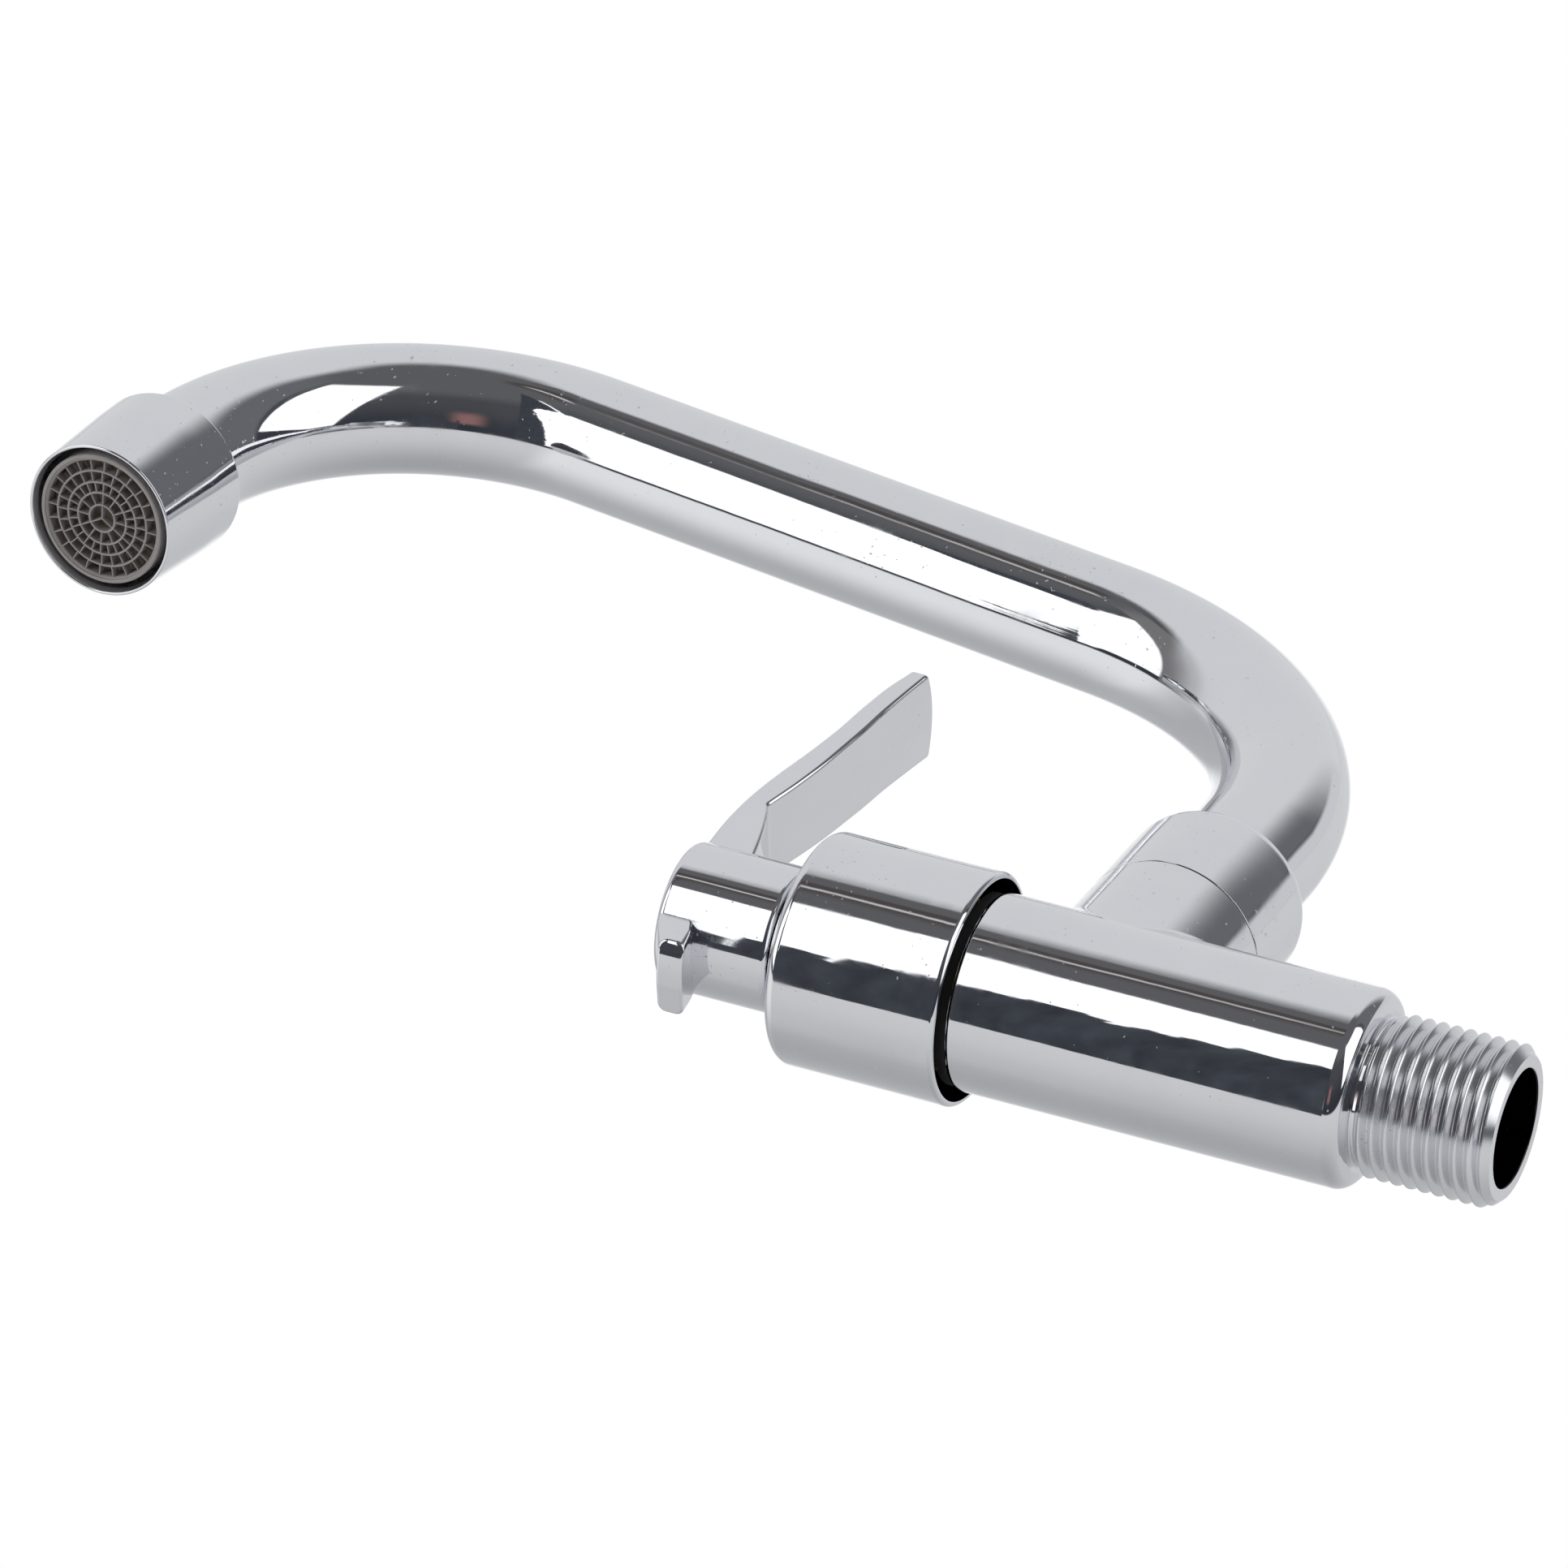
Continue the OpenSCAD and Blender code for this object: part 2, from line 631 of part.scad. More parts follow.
// Smooth round nut that holds the spout's collar down on the body.
module swivel_nut() {
    r = nut_d / 2;
    color([0.80, 0.81, 0.83])
    translate([0, -spout_out, 0]) difference() {
        rotate_extrude() {
            translate([0, branch_h + nut_seam]) square([r, nut_top - nut_round - branch_h - nut_seam]);
            translate([0, branch_h + nut_seam]) square([r - nut_round, nut_top - branch_h - nut_seam]);
            translate([r - nut_round, nut_top - nut_round]) circle(r = nut_round);
        }
        translate([0, 0, branch_h]) cylinder(r = nipple_d / 2 + fit, h = nut_shelf - branch_h);
        cylinder(r = tube_r + 0.2, h = nut_top + 1);
    }
}

// A plug with two O-ring grooves, the collar, and a spigot that the tube is brazed on.
module spout_ferrule() {
    gw = spout_oring_t * 1.25;
    groove_r = socket_r - spout_oring_t + 0.02;
    color([0.80, 0.68, 0.40])
    translate([0, -spout_out, 0]) difference() {
        union() {
            rod(plug_r, plug_z, collar_z + 0.5, 0.6, 0);
            translate([0, 0, collar_z]) cylinder(d = collar_d, h = collar_h);
            rod(tube_bore_r - fit, collar_top - 1, collar_top + spigot_len, 0, 0.4);
        }
        translate([0, 0, plug_z - 1]) cylinder(r = plug_bore_r, h = collar_top + spigot_len - plug_z + 2);
        for (z = oring_zs) ring(plug_r + 1, groove_r, z - gw / 2, z + gw / 2);
    }
}

module spout_oring(z) {
    color([0.08, 0.08, 0.08])
    translate([0, -spout_out, 0])
        oring(socket_r - 0.05 - (spout_oring_t - 0.1) / 2, spout_oring_t - 0.1, z);
}

// The tube's cross-section, thinned by d on both sides.
module tube_ring(d = 0) {
    difference() {
        circle(r = tube_r - d);
        circle(r = tube_bore_r + d);
    }
}

// A straight end of the tube along local z, a little thinner, let into the bend next to it.
module tube_end_run(len, before = 0, after = 0)
    translate([0, 0, -before]) linear_extrude(len + before + after) tube_ring(let_in);

// A bend that leaves the origin along local z and turns towards local x.
module bend_after(r, a)
    translate([r, 0, 0]) rotate([90, 0, 180]) rotate_extrude(angle = a) translate([r, 0]) tube_ring();

// A bend that reaches the origin along local z, from a turn of the same sense.
module bend_before(r, a)
    translate([r, 0, 0]) rotate([-90, 0, 180]) rotate_extrude(angle = a) translate([r, 0]) tube_ring();

// Both bends are drawn in the frame of the sloping straight between them.
module spout_tube() {
    j = 0.3;
    color([0.80, 0.81, 0.83])
    spout_frame() {
        translate([0, 0, collar_top]) tube_end_run(rise_top - collar_top, 0, j);
        translate([bend1_r * (1 - cos(bend1_a)), 0, rise_top + bend1_r * sin(bend1_a)])
            rotate([0, bend1_a, 0]) {
                bend_before(bend1_r, bend1_a);
                linear_extrude(slope_len) tube_ring();
                translate([0, 0, slope_len]) bend_after(bend2_r, bend2_a);
            }
        translate([outlet_x, 0, outlet_z]) rotate([0, outlet_a, 0]) tube_end_run(tube_end, j, 0);
    }
}

module outlet_nipple() {
    color([0.80, 0.68, 0.40])
    outlet_frame() difference() {
        rod(outlet_thread_r, nipple_w, nipple_w_end, 0.5, 0.5);
        translate([0, 0, nipple_w - 1]) cylinder(r = tube_r + fit / 5, h = tube_end - nipple_w + 1);
        cylinder(r = tube_bore_r, h = nipple_w_end + 1);
    }
}

// Sleeve round the mouth, screwed on the outlet nipple, with a lip that holds the core.
module aerator_housing() {
    r = aer_d / 2;
    color([0.80, 0.81, 0.83])
    outlet_frame() difference() {
        rotate_extrude() {
            polygon([[0, aer_start], [r - aer_chamfer, aer_start], [r, aer_start + aer_chamfer],
                [r, aer_end - aer_round], [0, aer_end - aer_round]]);
            translate([0, aer_end - aer_round - 1]) square([r - aer_round, aer_round + 1]);
            translate([r - aer_round, aer_end - aer_round]) circle(r = aer_round);
        }
        translate([0, 0, aer_start - 1]) cylinder(r = outlet_thread_r + fit, h = lip_w - aer_start + 1);
        translate([0, 0, aer_start]) cylinder(r = mouth_r, h = aer_len + 1);
    }
}

module aerator_washer() {
    color([0.1, 0.1, 0.1])
    outlet_frame() ring(outlet_thread_r - 0.2, tube_bore_r, washer_w, washer_w + aer_washer_t);
}

// The stream is split by a plate of small holes, then by a screen, then by the grille.
module aerator_diffuser() {
    z = flange_w + diffuser_in;
    color([0.55, 0.56, 0.58])
    outlet_frame() difference() {
        translate([0, 0, z]) cylinder(r = grille_rs[0] - fit, h = diffuser_t);
        for (k = [1:3], i = [0:6 * k - 1]) rotate([0, 0, i * 60 / k])
            translate([k * core_r * 0.24, 0, z - 1])
                cylinder(d = diffuser_hole_d, h = diffuser_t + 2, $fn = 16);
    }
}

module aerator_mesh() {
    n = 6;
    step = 2 * grille_rs[0] / (n + 1);
    z = core_end - grille_recess - grille_depth - screen_gap - screen_t;
    color([0.24, 0.22, 0.20])
    outlet_frame() {
        ring(grille_rs[0] - fit, grille_rs[0] - screen_t, z, z + screen_t);
        intersection() {
            translate([0, 0, z]) cylinder(r = grille_rs[0] - screen_t / 2, h = screen_t);
            union() for (i = [1:n], q = [0, 90]) rotate([0, 0, q])
                translate([-core_r, -grille_rs[0] + i * step - screen_t / 2, z])
                    cube([core_d, screen_t, screen_t]);
        }
    }
}

// The core is a moulded cup: a flange, a barrel, and a grille of five rings joined by ribs,
// with three spokes in the middle ring.
module aerator_core() {
    g0 = core_end - grille_recess - grille_depth;
    color([0.50, 0.49, 0.49])
    outlet_frame() {
        difference() {
            union() {
                translate([0, 0, flange_w]) cylinder(r = outlet_thread_r - 0.1, h = core_flange_t);
                translate([0, 0, flange_w]) cylinder(r = core_r, h = core_end - flange_w);
            }
            translate([0, 0, flange_w - 1]) cylinder(r = grille_rs[0], h = aer_len);
            translate([0, 0, core_end - grille_recess])
                cylinder(r = core_r - core_rim, h = grille_recess + 1);
        }
        translate([0, 0, g0]) linear_extrude(grille_depth) grille();
    }
}

module grille() {
    n = grille_ribs;
    for (k = [0:4]) difference() {
        circle(r = grille_rs[k] + (k == 0 ? 0.1 : grille_ring_t / 2));
        circle(r = grille_rs[k] - (k == 0 ? grille_ring_t : grille_ring_t / 2));
    }
    for (k = [0:3], i = [0:(k == 3 ? n / 2 : n) - 1])
        rotate([0, 0, (i + (k == 1 ? 0.15 : 0)) * 360 / (k == 3 ? n / 2 : n)])
            translate([grille_rs[k + 1], -grille_rib_t / 2])
                square([grille_rs[k] - grille_rs[k + 1] - 0.1, grille_rib_t]);
    for (i = [0:2]) rotate([0, 0, 90 + i * 120])
        translate([0, -grille_rib_t / 2]) square([grille_rs[4], grille_rib_t]);
}

tap_body();
seat_seal();
valve_housing();
housing_gasket();
fixed_disc();
bonnet_cover();
slip_washer();
slip_ring();
swivel_nut();
moving_disc();
spindle();
spindle_oring(spindle_oring_outs[0]);  // spindle_oring_inner
spindle_oring(spindle_oring_outs[1]);  // spindle_oring_outer
thrust_washer();
circlip();
lever_handle();
handle_screw();
handle_cap();
spout_ferrule();
spout_oring(oring_zs[0]);  // spout_oring_lower
spout_oring(oring_zs[1]);  // spout_oring_upper
spout_tube();
outlet_nipple();
aerator_housing();
aerator_washer();
aerator_diffuser();
aerator_mesh();
aerator_core();
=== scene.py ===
import json

import bpy
import numpy as np
from mathutils import Matrix


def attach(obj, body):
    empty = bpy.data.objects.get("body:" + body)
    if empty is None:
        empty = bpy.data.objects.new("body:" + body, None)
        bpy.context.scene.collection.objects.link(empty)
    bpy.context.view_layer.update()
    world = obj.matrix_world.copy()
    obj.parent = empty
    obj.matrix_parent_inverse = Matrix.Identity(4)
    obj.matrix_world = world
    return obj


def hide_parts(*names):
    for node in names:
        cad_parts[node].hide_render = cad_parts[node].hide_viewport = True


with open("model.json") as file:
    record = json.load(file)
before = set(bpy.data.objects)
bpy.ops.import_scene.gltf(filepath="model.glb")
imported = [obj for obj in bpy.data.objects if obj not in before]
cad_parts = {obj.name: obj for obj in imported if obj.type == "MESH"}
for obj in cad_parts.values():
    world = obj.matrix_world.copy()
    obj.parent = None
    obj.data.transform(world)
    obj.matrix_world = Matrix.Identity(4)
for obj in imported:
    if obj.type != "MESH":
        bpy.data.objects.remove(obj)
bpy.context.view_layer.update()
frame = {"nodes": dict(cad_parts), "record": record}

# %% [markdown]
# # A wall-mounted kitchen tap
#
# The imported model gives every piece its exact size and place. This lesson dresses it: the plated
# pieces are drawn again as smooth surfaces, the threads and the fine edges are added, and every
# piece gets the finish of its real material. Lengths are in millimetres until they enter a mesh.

nodes = frame["nodes"]
MM = 0.001

# %% [markdown]
# ## Frames
#
# The tap is turned, bent and cast about four lines: the inlet axis, the spout's swivel axis, the
# line of the outlet, and the lever. Each piece is easiest to describe along its own line, so each
# line gets a matrix that carries local points to the object's frame.

# %% Sizes shared by several pieces, in millimetres and degrees
# the barrel, the branch at its distance out, the cover with its collar, and the lever's hub
BARREL_R, BARREL_END, END_ROUND = 12.8, 52.8, 0.8
SPOUT_OUT, BRANCH_R, BRANCH_TOP = 36.7, 12.3, 21.2
COVER_BACK, COVER_FRONT, COLLAR_FRONT = 53.2, 76.4, 78.2
HUB_R, HUB_BACK, HUB_FRONT = 9.5, 78.4, 94.35
# the tube: a rise, a bend by its radius and angle, a slope, a second bend and a straight end
TUBE_R, TUBE_BORE_R, TUBE_LOW = 9.0, 8.0, 32.7
RISE_TOP, BEND1_R, BEND1_A, SLOPE = 50.7, 48.0, 80.3, 83.2
BEND2_R, BEND2_A, TUBE_END = 38.9, 96.2, 8.0
# in the photo the spout stands a little to one side, and the lever leans a little
SPOUT_YAW, LEAN = 1.4, 8.0


def shift(x, y, z):
    """Matrix that moves points by (x, y, z)."""
    m = np.eye(4)
    m[:3, 3] = x, y, z
    return m


def turn(axis, degrees):
    """Matrix that turns points about one axis by the right-hand rule."""
    i, j = {"x": (1, 2), "y": (2, 0), "z": (0, 1)}[axis]
    c, s = np.cos(np.radians(degrees)), np.sin(np.radians(degrees))
    m = np.eye(4)
    m[i, i], m[i, j], m[j, i], m[j, j] = c, -s, s, c
    return m


bend1, outlet_angle = np.radians(BEND1_A), np.radians(BEND1_A + BEND2_A)
OUTLET_X = (BEND1_R * (1 - np.cos(bend1)) + SLOPE * np.sin(bend1)
            + BEND2_R * (np.cos(bend1) - np.cos(outlet_angle)))
OUTLET_Z = (RISE_TOP + BEND1_R * np.sin(bend1) + SLOPE * np.cos(bend1)
            + BEND2_R * (np.sin(outlet_angle) - np.sin(bend1)))

INLET = turn("x", 90)
SWIVEL = shift(0, -SPOUT_OUT, 0)
SPOUT = SWIVEL @ turn("z", SPOUT_YAW - 90)
OUTLET = SPOUT @ shift(OUTLET_X, 0, OUTLET_Z) @ turn("y", BEND1_A + BEND2_A)
LEVER = INLET @ turn("z", -LEAN)
print("outlet, mm:", np.round(OUTLET[:3, 3], 2))

# %% [markdown]
# ## From grids to a mesh
#
# A sheet is a grid of points with a normal at each point. A piece is a few sheets whose edges meet.
# The points that meet are joined, so the skin is closed, but each face keeps its own sheet's
# normals. Chrome shows the least error in a normal, and exact ones are better than averaged ones.


# %% Sheets and the mesh they make
def normals_of(points):
    """Normals of a grid whose last column is its first: the cross product of the differences
    from row to row and from column to column."""
    wide = np.concatenate([points[:, -2:-1], points, points[:, 1:2]], 1)
    n = np.cross(np.gradient(points, axis=0), wide[:, 2:] - wide[:, :-2])
    return n / np.maximum(np.linalg.norm(n, axis=-1, keepdims=True), 1e-12)


def placed(sheet, matrix):
    """A sheet carried by a matrix: points are turned and moved, normals are only turned."""
    points, normals = sheet
    return points @ matrix[:3, :3].T + matrix[:3, 3], normals @ matrix[:3, :3].T


WELD_CELLS = 1e4  # cells in a millimetre
WELD_OFFSET = 0.637  # keeps round sizes away from the limits of the cells


def solid(name, sheets, material, body, stands_for=()):
    """Joins sheets into one mesh piece. Points that share a cell of 0.0001 mm become one point."""
    points = np.concatenate([p.reshape(-1, 3) for p, _ in sheets])
    normals = np.concatenate([n.reshape(-1, 3) for _, n in sheets])
    quads, first = [], 0
    for p, _ in sheets:
        i = np.arange(p.shape[0] * p.shape[1]).reshape(p.shape[:2]) + first
        quads.append(np.stack([i[:-1, :-1], i[:-1, 1:], i[1:, 1:], i[1:, :-1]], -1).reshape(-1, 4))
        first += i.size
    quads = np.concatenate(quads)

    # each face looks the way its normals do
    a, b, c, d = points[quads].transpose(1, 0, 2)
    inwards = np.einsum("ij,ij->i", np.cross(c - a, d - b), normals[quads].sum(1)) < 0
    quads[inwards] = quads[inwards, ::-1]

    key = np.floor(points * WELD_CELLS + WELD_OFFSET).astype(np.int64)
    _, kept, joined = np.unique(key, axis=0, return_index=True, return_inverse=True)
    joined = joined.reshape(-1)
    same = joined[quads] == joined[np.roll(quads, -1, 1)]
    fours = quads[same.sum(1) == 0]
    threes = quads[same.sum(1) == 1][~same[same.sum(1) == 1]].reshape(-1, 3)

    mesh = bpy.data.meshes.new(name)
    mesh.from_pydata((points[kept] * MM).tolist(), [], joined[fours].tolist() + joined[threes].tolist())
    mesh.polygons.foreach_set("use_smooth", np.ones(len(mesh.polygons), bool))
    corners = np.concatenate([fours.reshape(-1), threes.reshape(-1)])
    mesh.normals_split_custom_set(normals[corners].tolist())
    mesh.materials.append(material)
    piece = bpy.data.objects.new(name, mesh)
    bpy.context.scene.collection.objects.link(piece)
    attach(piece, body)
    if stands_for:
        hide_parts(*stands_for)

    pairs = np.concatenate([np.stack([f, np.roll(f, -1, 1)], -1).reshape(-1, 2)
                            for f in (joined[fours], joined[threes]) if len(f)])
    _, uses = np.unique(np.sort(pairs, 1), axis=0, return_counts=True)
    print(f"{name}: {len(fours) * 2 + len(threes)} triangles, {int((uses != 2).sum())} open edges")
    return piece


# %% [markdown]
# ## Turned pieces
#
# Most of a tap is turned on a lathe. A turned piece is an outline of corners, each with a small
# rounding as a real tool and polishing leave it, carried once round an axis.

# %% Outlines with rounded corners, carried round an axis
ROUND = np.linspace(-np.pi, np.pi, 129)


def outline(corners, closed=True):
    """Straight and rounded runs along (radius, height, rounding) corners.

    A rounding q between two directions that differ by angle a starts q * tan(a / 2) before the
    corner. Its arc's centre lies q to the side that the outline turns to, and its normals turn
    evenly from one direction's normal to the next one's.
    """
    c = np.array([(*k, 0)[:3] for k in corners], float)
    p, q = c[:, :2], c[:, 2]
    ahead = np.roll(p, -1, 0) - p
    ahead /= np.maximum(np.linalg.norm(ahead, axis=1, keepdims=True), 1e-9)
    before = np.roll(ahead, 1, 0)
    angle = np.arctan2(before[:, 0] * ahead[:, 1] - before[:, 1] * ahead[:, 0], (before * ahead).sum(1))
    cut = q * np.tan(np.abs(angle) / 2)
    runs = []
    for i in range(len(p)):
        last = (i + 1) % len(p)
        inner = closed or 0 < i < len(p) - 1
        if q[i] > 0 and inner:
            start = np.arctan2(-before[i, 0], before[i, 1])
            a = start + np.linspace(0, angle[i], int(np.ceil(abs(angle[i]) / 0.15)) + 2)
            n = np.stack([np.cos(a), np.sin(a)], -1)
            side = np.sign(angle[i]) * q[i]
            left = np.array([-before[i, 1], before[i, 0]])
            runs.append((p[i] - before[i] * cut[i] + left * side + n * side, n))
        if closed or i < len(p) - 1:
            ends = np.array([p[i] + ahead[i] * cut[i], p[last] - ahead[i] * cut[last]])
            n = np.array([ahead[i, 1], -ahead[i, 0]])
            runs.append((ends, np.stack([n, n])))
    return runs


def turned(corners, closed=True, round_at=ROUND):
    """Sheets of an outline carried round the local z axis, at the angles round_at."""
    s, c = np.sin(round_at), np.cos(round_at)
    sheets = []
    for p, n in outline(corners, closed):
        points = np.stack([p[:, :1] * s, p[:, :1] * c, np.broadcast_to(p[:, 1:], (len(p), len(s)))], -1)
        normals = np.stack([n[:, :1] * s, n[:, :1] * c, np.broadcast_to(n[:, 1:], (len(n), len(s)))], -1)
        sheets.append((points, normals))
    return sheets


FINE = np.linspace(-np.pi, np.pi, 193)

# %% [markdown]
# ## Finishes
#
# Each material starts from what the real one is. One function turns a colour's hex value to the
# linear numbers that a shader works in, and one adds a node with its settings and links.


# %% Helpers for materials
def linear(hex_colour):
    """Linear RGBA of an sRGB hex colour: ((v + 0.055) / 1.055) ** 2.4, or v / 12.92 when dark."""
    v = np.array([int(hex_colour[i:i + 2], 16) / 255 for i in (1, 3, 5)])
    return (*np.where(v > 0.04045, ((v + 0.055) / 1.055) ** 2.4, v / 12.92).tolist(), 1.0)


def add_node(tree, kind, links=None, **settings):
    """Adds a node, sets its properties, and fills its inputs with values or other sockets."""
    node = tree.nodes.new(kind)
    for name, value in settings.items():
        setattr(node, name, value)
    for key, value in (links or {}).items():
        if isinstance(value, bpy.types.NodeSocket):
            tree.links.new(value, node.inputs[key])
        else:
            node.inputs[key].default_value = value
    return node


def new_material(name):
    """A material with an empty node tree, its shader, and its Object coordinates."""
    material = bpy.data.materials.new(name)
    material.use_nodes = True
    tree = material.node_tree
    tree.nodes.clear()
    shader = add_node(tree, "ShaderNodeBsdfPrincipled")
    add_node(tree, "ShaderNodeOutputMaterial", {"Surface": shader.outputs["BSDF"]})
    place = add_node(tree, "ShaderNodeTexCoord").outputs["Object"]
    return material, tree, shader, place


# %% [markdown]
# ### Bright chrome plate
#
# The tap is brass, polished, then plated with nickel and a thin layer of chromium. Polishing leaves
# a very slight waviness a few millimetres long, which makes the edges of reflections ragged.
# Handling leaves faint smears where the gloss is softer, and some dust lies on it. So the eye sees
# sharp, nearly white and nearly black reflections with slightly torn edges.

# %% Chrome plate
def chrome_plate(name):
    """Metal with a wavy bump and patchy gloss. Dust is noise above a threshold, and is matt."""
    material, tree, shader, place = new_material(name)
    fine = add_node(tree, "ShaderNodeTexNoise", {"Vector": place, "Scale": 160.0, "Detail": 2.0})
    swell = add_node(tree, "ShaderNodeTexNoise", {"Vector": place, "Scale": 42.0, "Detail": 1.0})
    # the swell is 24 mm long and tilts the surface by a third of a degree, and the fine wave is
    # 6 mm long and tilts it by an eighth
    wave = add_node(tree, "ShaderNodeMath", {0: swell.outputs["Fac"], 1: 10.0, 2: fine.outputs["Fac"]},
                    operation="MULTIPLY_ADD")
    smear = add_node(tree, "ShaderNodeTexNoise", {"Vector": place, "Scale": 55.0, "Detail": 6.0,
                                                 "Roughness": 0.7, "Distortion": 0.8})
    film = add_node(tree, "ShaderNodeMapRange", {"Value": smear.outputs["Fac"], "From Min": 0.5,
                                                "From Max": 0.74, "To Min": 0.045, "To Max": 0.18})
    # specks 0.2 mm wide are too fine for the picture, so they are drawn 0.5 mm wide
    specks = add_node(tree, "ShaderNodeTexNoise", {"Vector": place, "Scale": 1500.0, "Detail": 1.0})
    crowd = add_node(tree, "ShaderNodeTexNoise", {"Vector": place, "Scale": 60.0, "Detail": 2.0})
    limit = add_node(tree, "ShaderNodeMapRange", {"Value": crowd.outputs["Fac"], "From Min": 0.4,
                                                 "From Max": 0.7, "To Min": 0.78, "To Max": 0.70})
    above = add_node(tree, "ShaderNodeMath", {0: specks.outputs["Fac"], 1: limit.outputs[0]},
                     operation="SUBTRACT")
    dust = add_node(tree, "ShaderNodeMapRange", {"Value": above.outputs[0], "From Min": 0.0,
                                                "From Max": 0.03})
    # the thread, past the wall's plane, is plated as it was cut, so it is duller than the skin
    across = add_node(tree, "ShaderNodeSeparateXYZ", {0: place})
    cut = add_node(tree, "ShaderNodeMapRange", {"Value": across.outputs["Y"], "From Min": 0.001,
                                               "From Max": 0.002, "To Max": 0.16})
    gloss = add_node(tree, "ShaderNodeMath", {0: film.outputs[0], 1: cut.outputs[0]}, operation="ADD")
    rough = add_node(tree, "ShaderNodeMix", {"Factor": dust.outputs[0], "A": gloss.outputs[0], "B": 0.6})
    bump = add_node(tree, "ShaderNodeBump", {"Height": wave.outputs[0], "Strength": 1.0,
                                            "Distance": 0.000015})
    tint = add_node(tree, "ShaderNodeMix", {"Factor": smear.outputs["Fac"], "A": linear("#E6E7EA"),
                                           "B": linear("#DEDFE3")}, data_type="RGBA")
    # the plate doesn't reach into the inlet's bore, where the brass has darkened. The bore's colour is also
    # made much darker than that brass, as painted shade deep in the bore
    off_axis = add_node(tree, "ShaderNodeCombineXYZ", {"X": across.outputs["X"], "Y": across.outputs["Z"]})
    reach = add_node(tree, "ShaderNodeVectorMath", {0: off_axis.outputs[0]}, operation="LENGTH")
    inner = add_node(tree, "ShaderNodeMath", {0: reach.outputs["Value"], 1: 0.0077}, operation="LESS_THAN")
    near = add_node(tree, "ShaderNodeMath", {0: across.outputs["Y"], 1: -0.03}, operation="GREATER_THAN")
    bore = add_node(tree, "ShaderNodeMath", {0: inner.outputs[0], 1: near.outputs[0]}, operation="MULTIPLY")
    # the dark bore colour: darkened brass, deepened further as painted shade
    colour = add_node(tree, "ShaderNodeMix", {"Factor": bore.outputs[0], "A": tint.outputs["Result"],
                                             "B": linear("#3A3430")}, data_type="RGBA")
    tree.links.new(colour.outputs["Result"], shader.inputs["Base Color"])
    tree.links.new(rough.outputs[0], shader.inputs["Roughness"])
    tree.links.new(bump.outputs["Normal"], shader.inputs["Normal"])
    shader.inputs["Metallic"].default_value = 1.0
    return material


CHROME = chrome_plate("bright_chrome_plate")

# %% [markdown]
# ## The body
#
# The body is one casting: a barrel, a branch that rises from it, and the inlet with its thread.
# A ball rolled along the corner between two cylinders gives the fillet between them. Its centre
# stays at one distance from both axes, and the arc that it touches is the fillet.

# %% The barrel, with a hole for the branch, and the rolled-ball fillet
FILLET, HALF = 2.0, 64
HOLE = np.linspace(0, 2 * np.pi, 8 * HALF + 1)


def branch_fillet(rows=12):
    """Centres c of the ball for each angle, and the arc that it leaves between both cylinders."""
    x, out = (BRANCH_R + FILLET) * np.cos(HOLE), (BRANCH_R + FILLET) * np.sin(HOLE)
    up = np.sqrt((BARREL_R + FILLET) ** 2 - x ** 2)
    centre = np.stack([x, up, SPOUT_OUT + out], -1)
    k = BARREL_R / (BARREL_R + FILLET)
    low = np.stack([x * k, up * k, centre[:, 2]], -1)
    k = BRANCH_R / (BRANCH_R + FILLET)
    high = np.stack([x * k, up, SPOUT_OUT + out * k], -1)
    a, b = (low - centre) / FILLET, (high - centre) / FILLET
    angle = np.arccos(np.clip((a * b).sum(-1), -1, 1))[None, :, None]
    t = np.linspace(0, 1, rows)[:, None, None]
    arm = (np.sin((1 - t) * angle) * a + np.sin(t * angle) * b) / np.sin(angle)
    return (centre + FILLET * arm, -arm), low, high


SHOULDER_END = 4.0  # where the domed shoulder ends and the straight barrel starts


def barrel_skin(low, rows=34):
    """The barrel unrolled flat, u round it and v along it, as lines from the hole to its edges."""
    wide, near, far = np.pi * BARREL_R, SHOULDER_END, BARREL_END - END_ROUND
    up, back = np.linspace(0, 1, HALF + 1)[1:], np.linspace(-1, 1, 2 * HALF + 1)[1:]
    u = np.concatenate([[wide], wide + 0 * up, -back * wide, -wide + 0 * up, -wide + 0 * up,
                        back * wide, wide + 0 * up])
    v = np.concatenate([[SPOUT_OUT], SPOUT_OUT + up * (far - SPOUT_OUT), far + 0 * back,
                        far + up * (SPOUT_OUT - far), SPOUT_OUT + up * (near - SPOUT_OUT),
                        near + 0 * back, near + up * (SPOUT_OUT - near)])
    t = np.linspace(0, 1, rows)[:, None]
    hole_u = BARREL_R * np.arcsin(np.clip(low[:, 0] / BARREL_R, -1, 1))
    around = ((1 - t) * hole_u + t * u) / BARREL_R
    along = (1 - t) * low[:, 2] + t * v
    n = np.stack([np.sin(around), np.cos(around), 0 * around], -1)
    return np.stack([BARREL_R * n[..., 0], BARREL_R * n[..., 1], along], -1), n


fillet, fillet_low, fillet_high = branch_fillet()
barrel = barrel_skin(fillet_low)

# %% [markdown]
# The wall thread is the half inch pipe size, with 14 turns to the inch. A ridge is a rounded
# triangle wave of the distance along the thread less the turn made so far, and it is cut down at
# the lead-in and at the relief groove, as the lathe tool does.

# %% The thread
THREAD_R, THREAD_LEN, PITCH, DEPTH, RELIEF, LEAD = 10.4775, 18.3, 1.814, 1.05, 0.5, 1.3
SHARP = 0.96  # at 1 the ridges would be sharp triangles


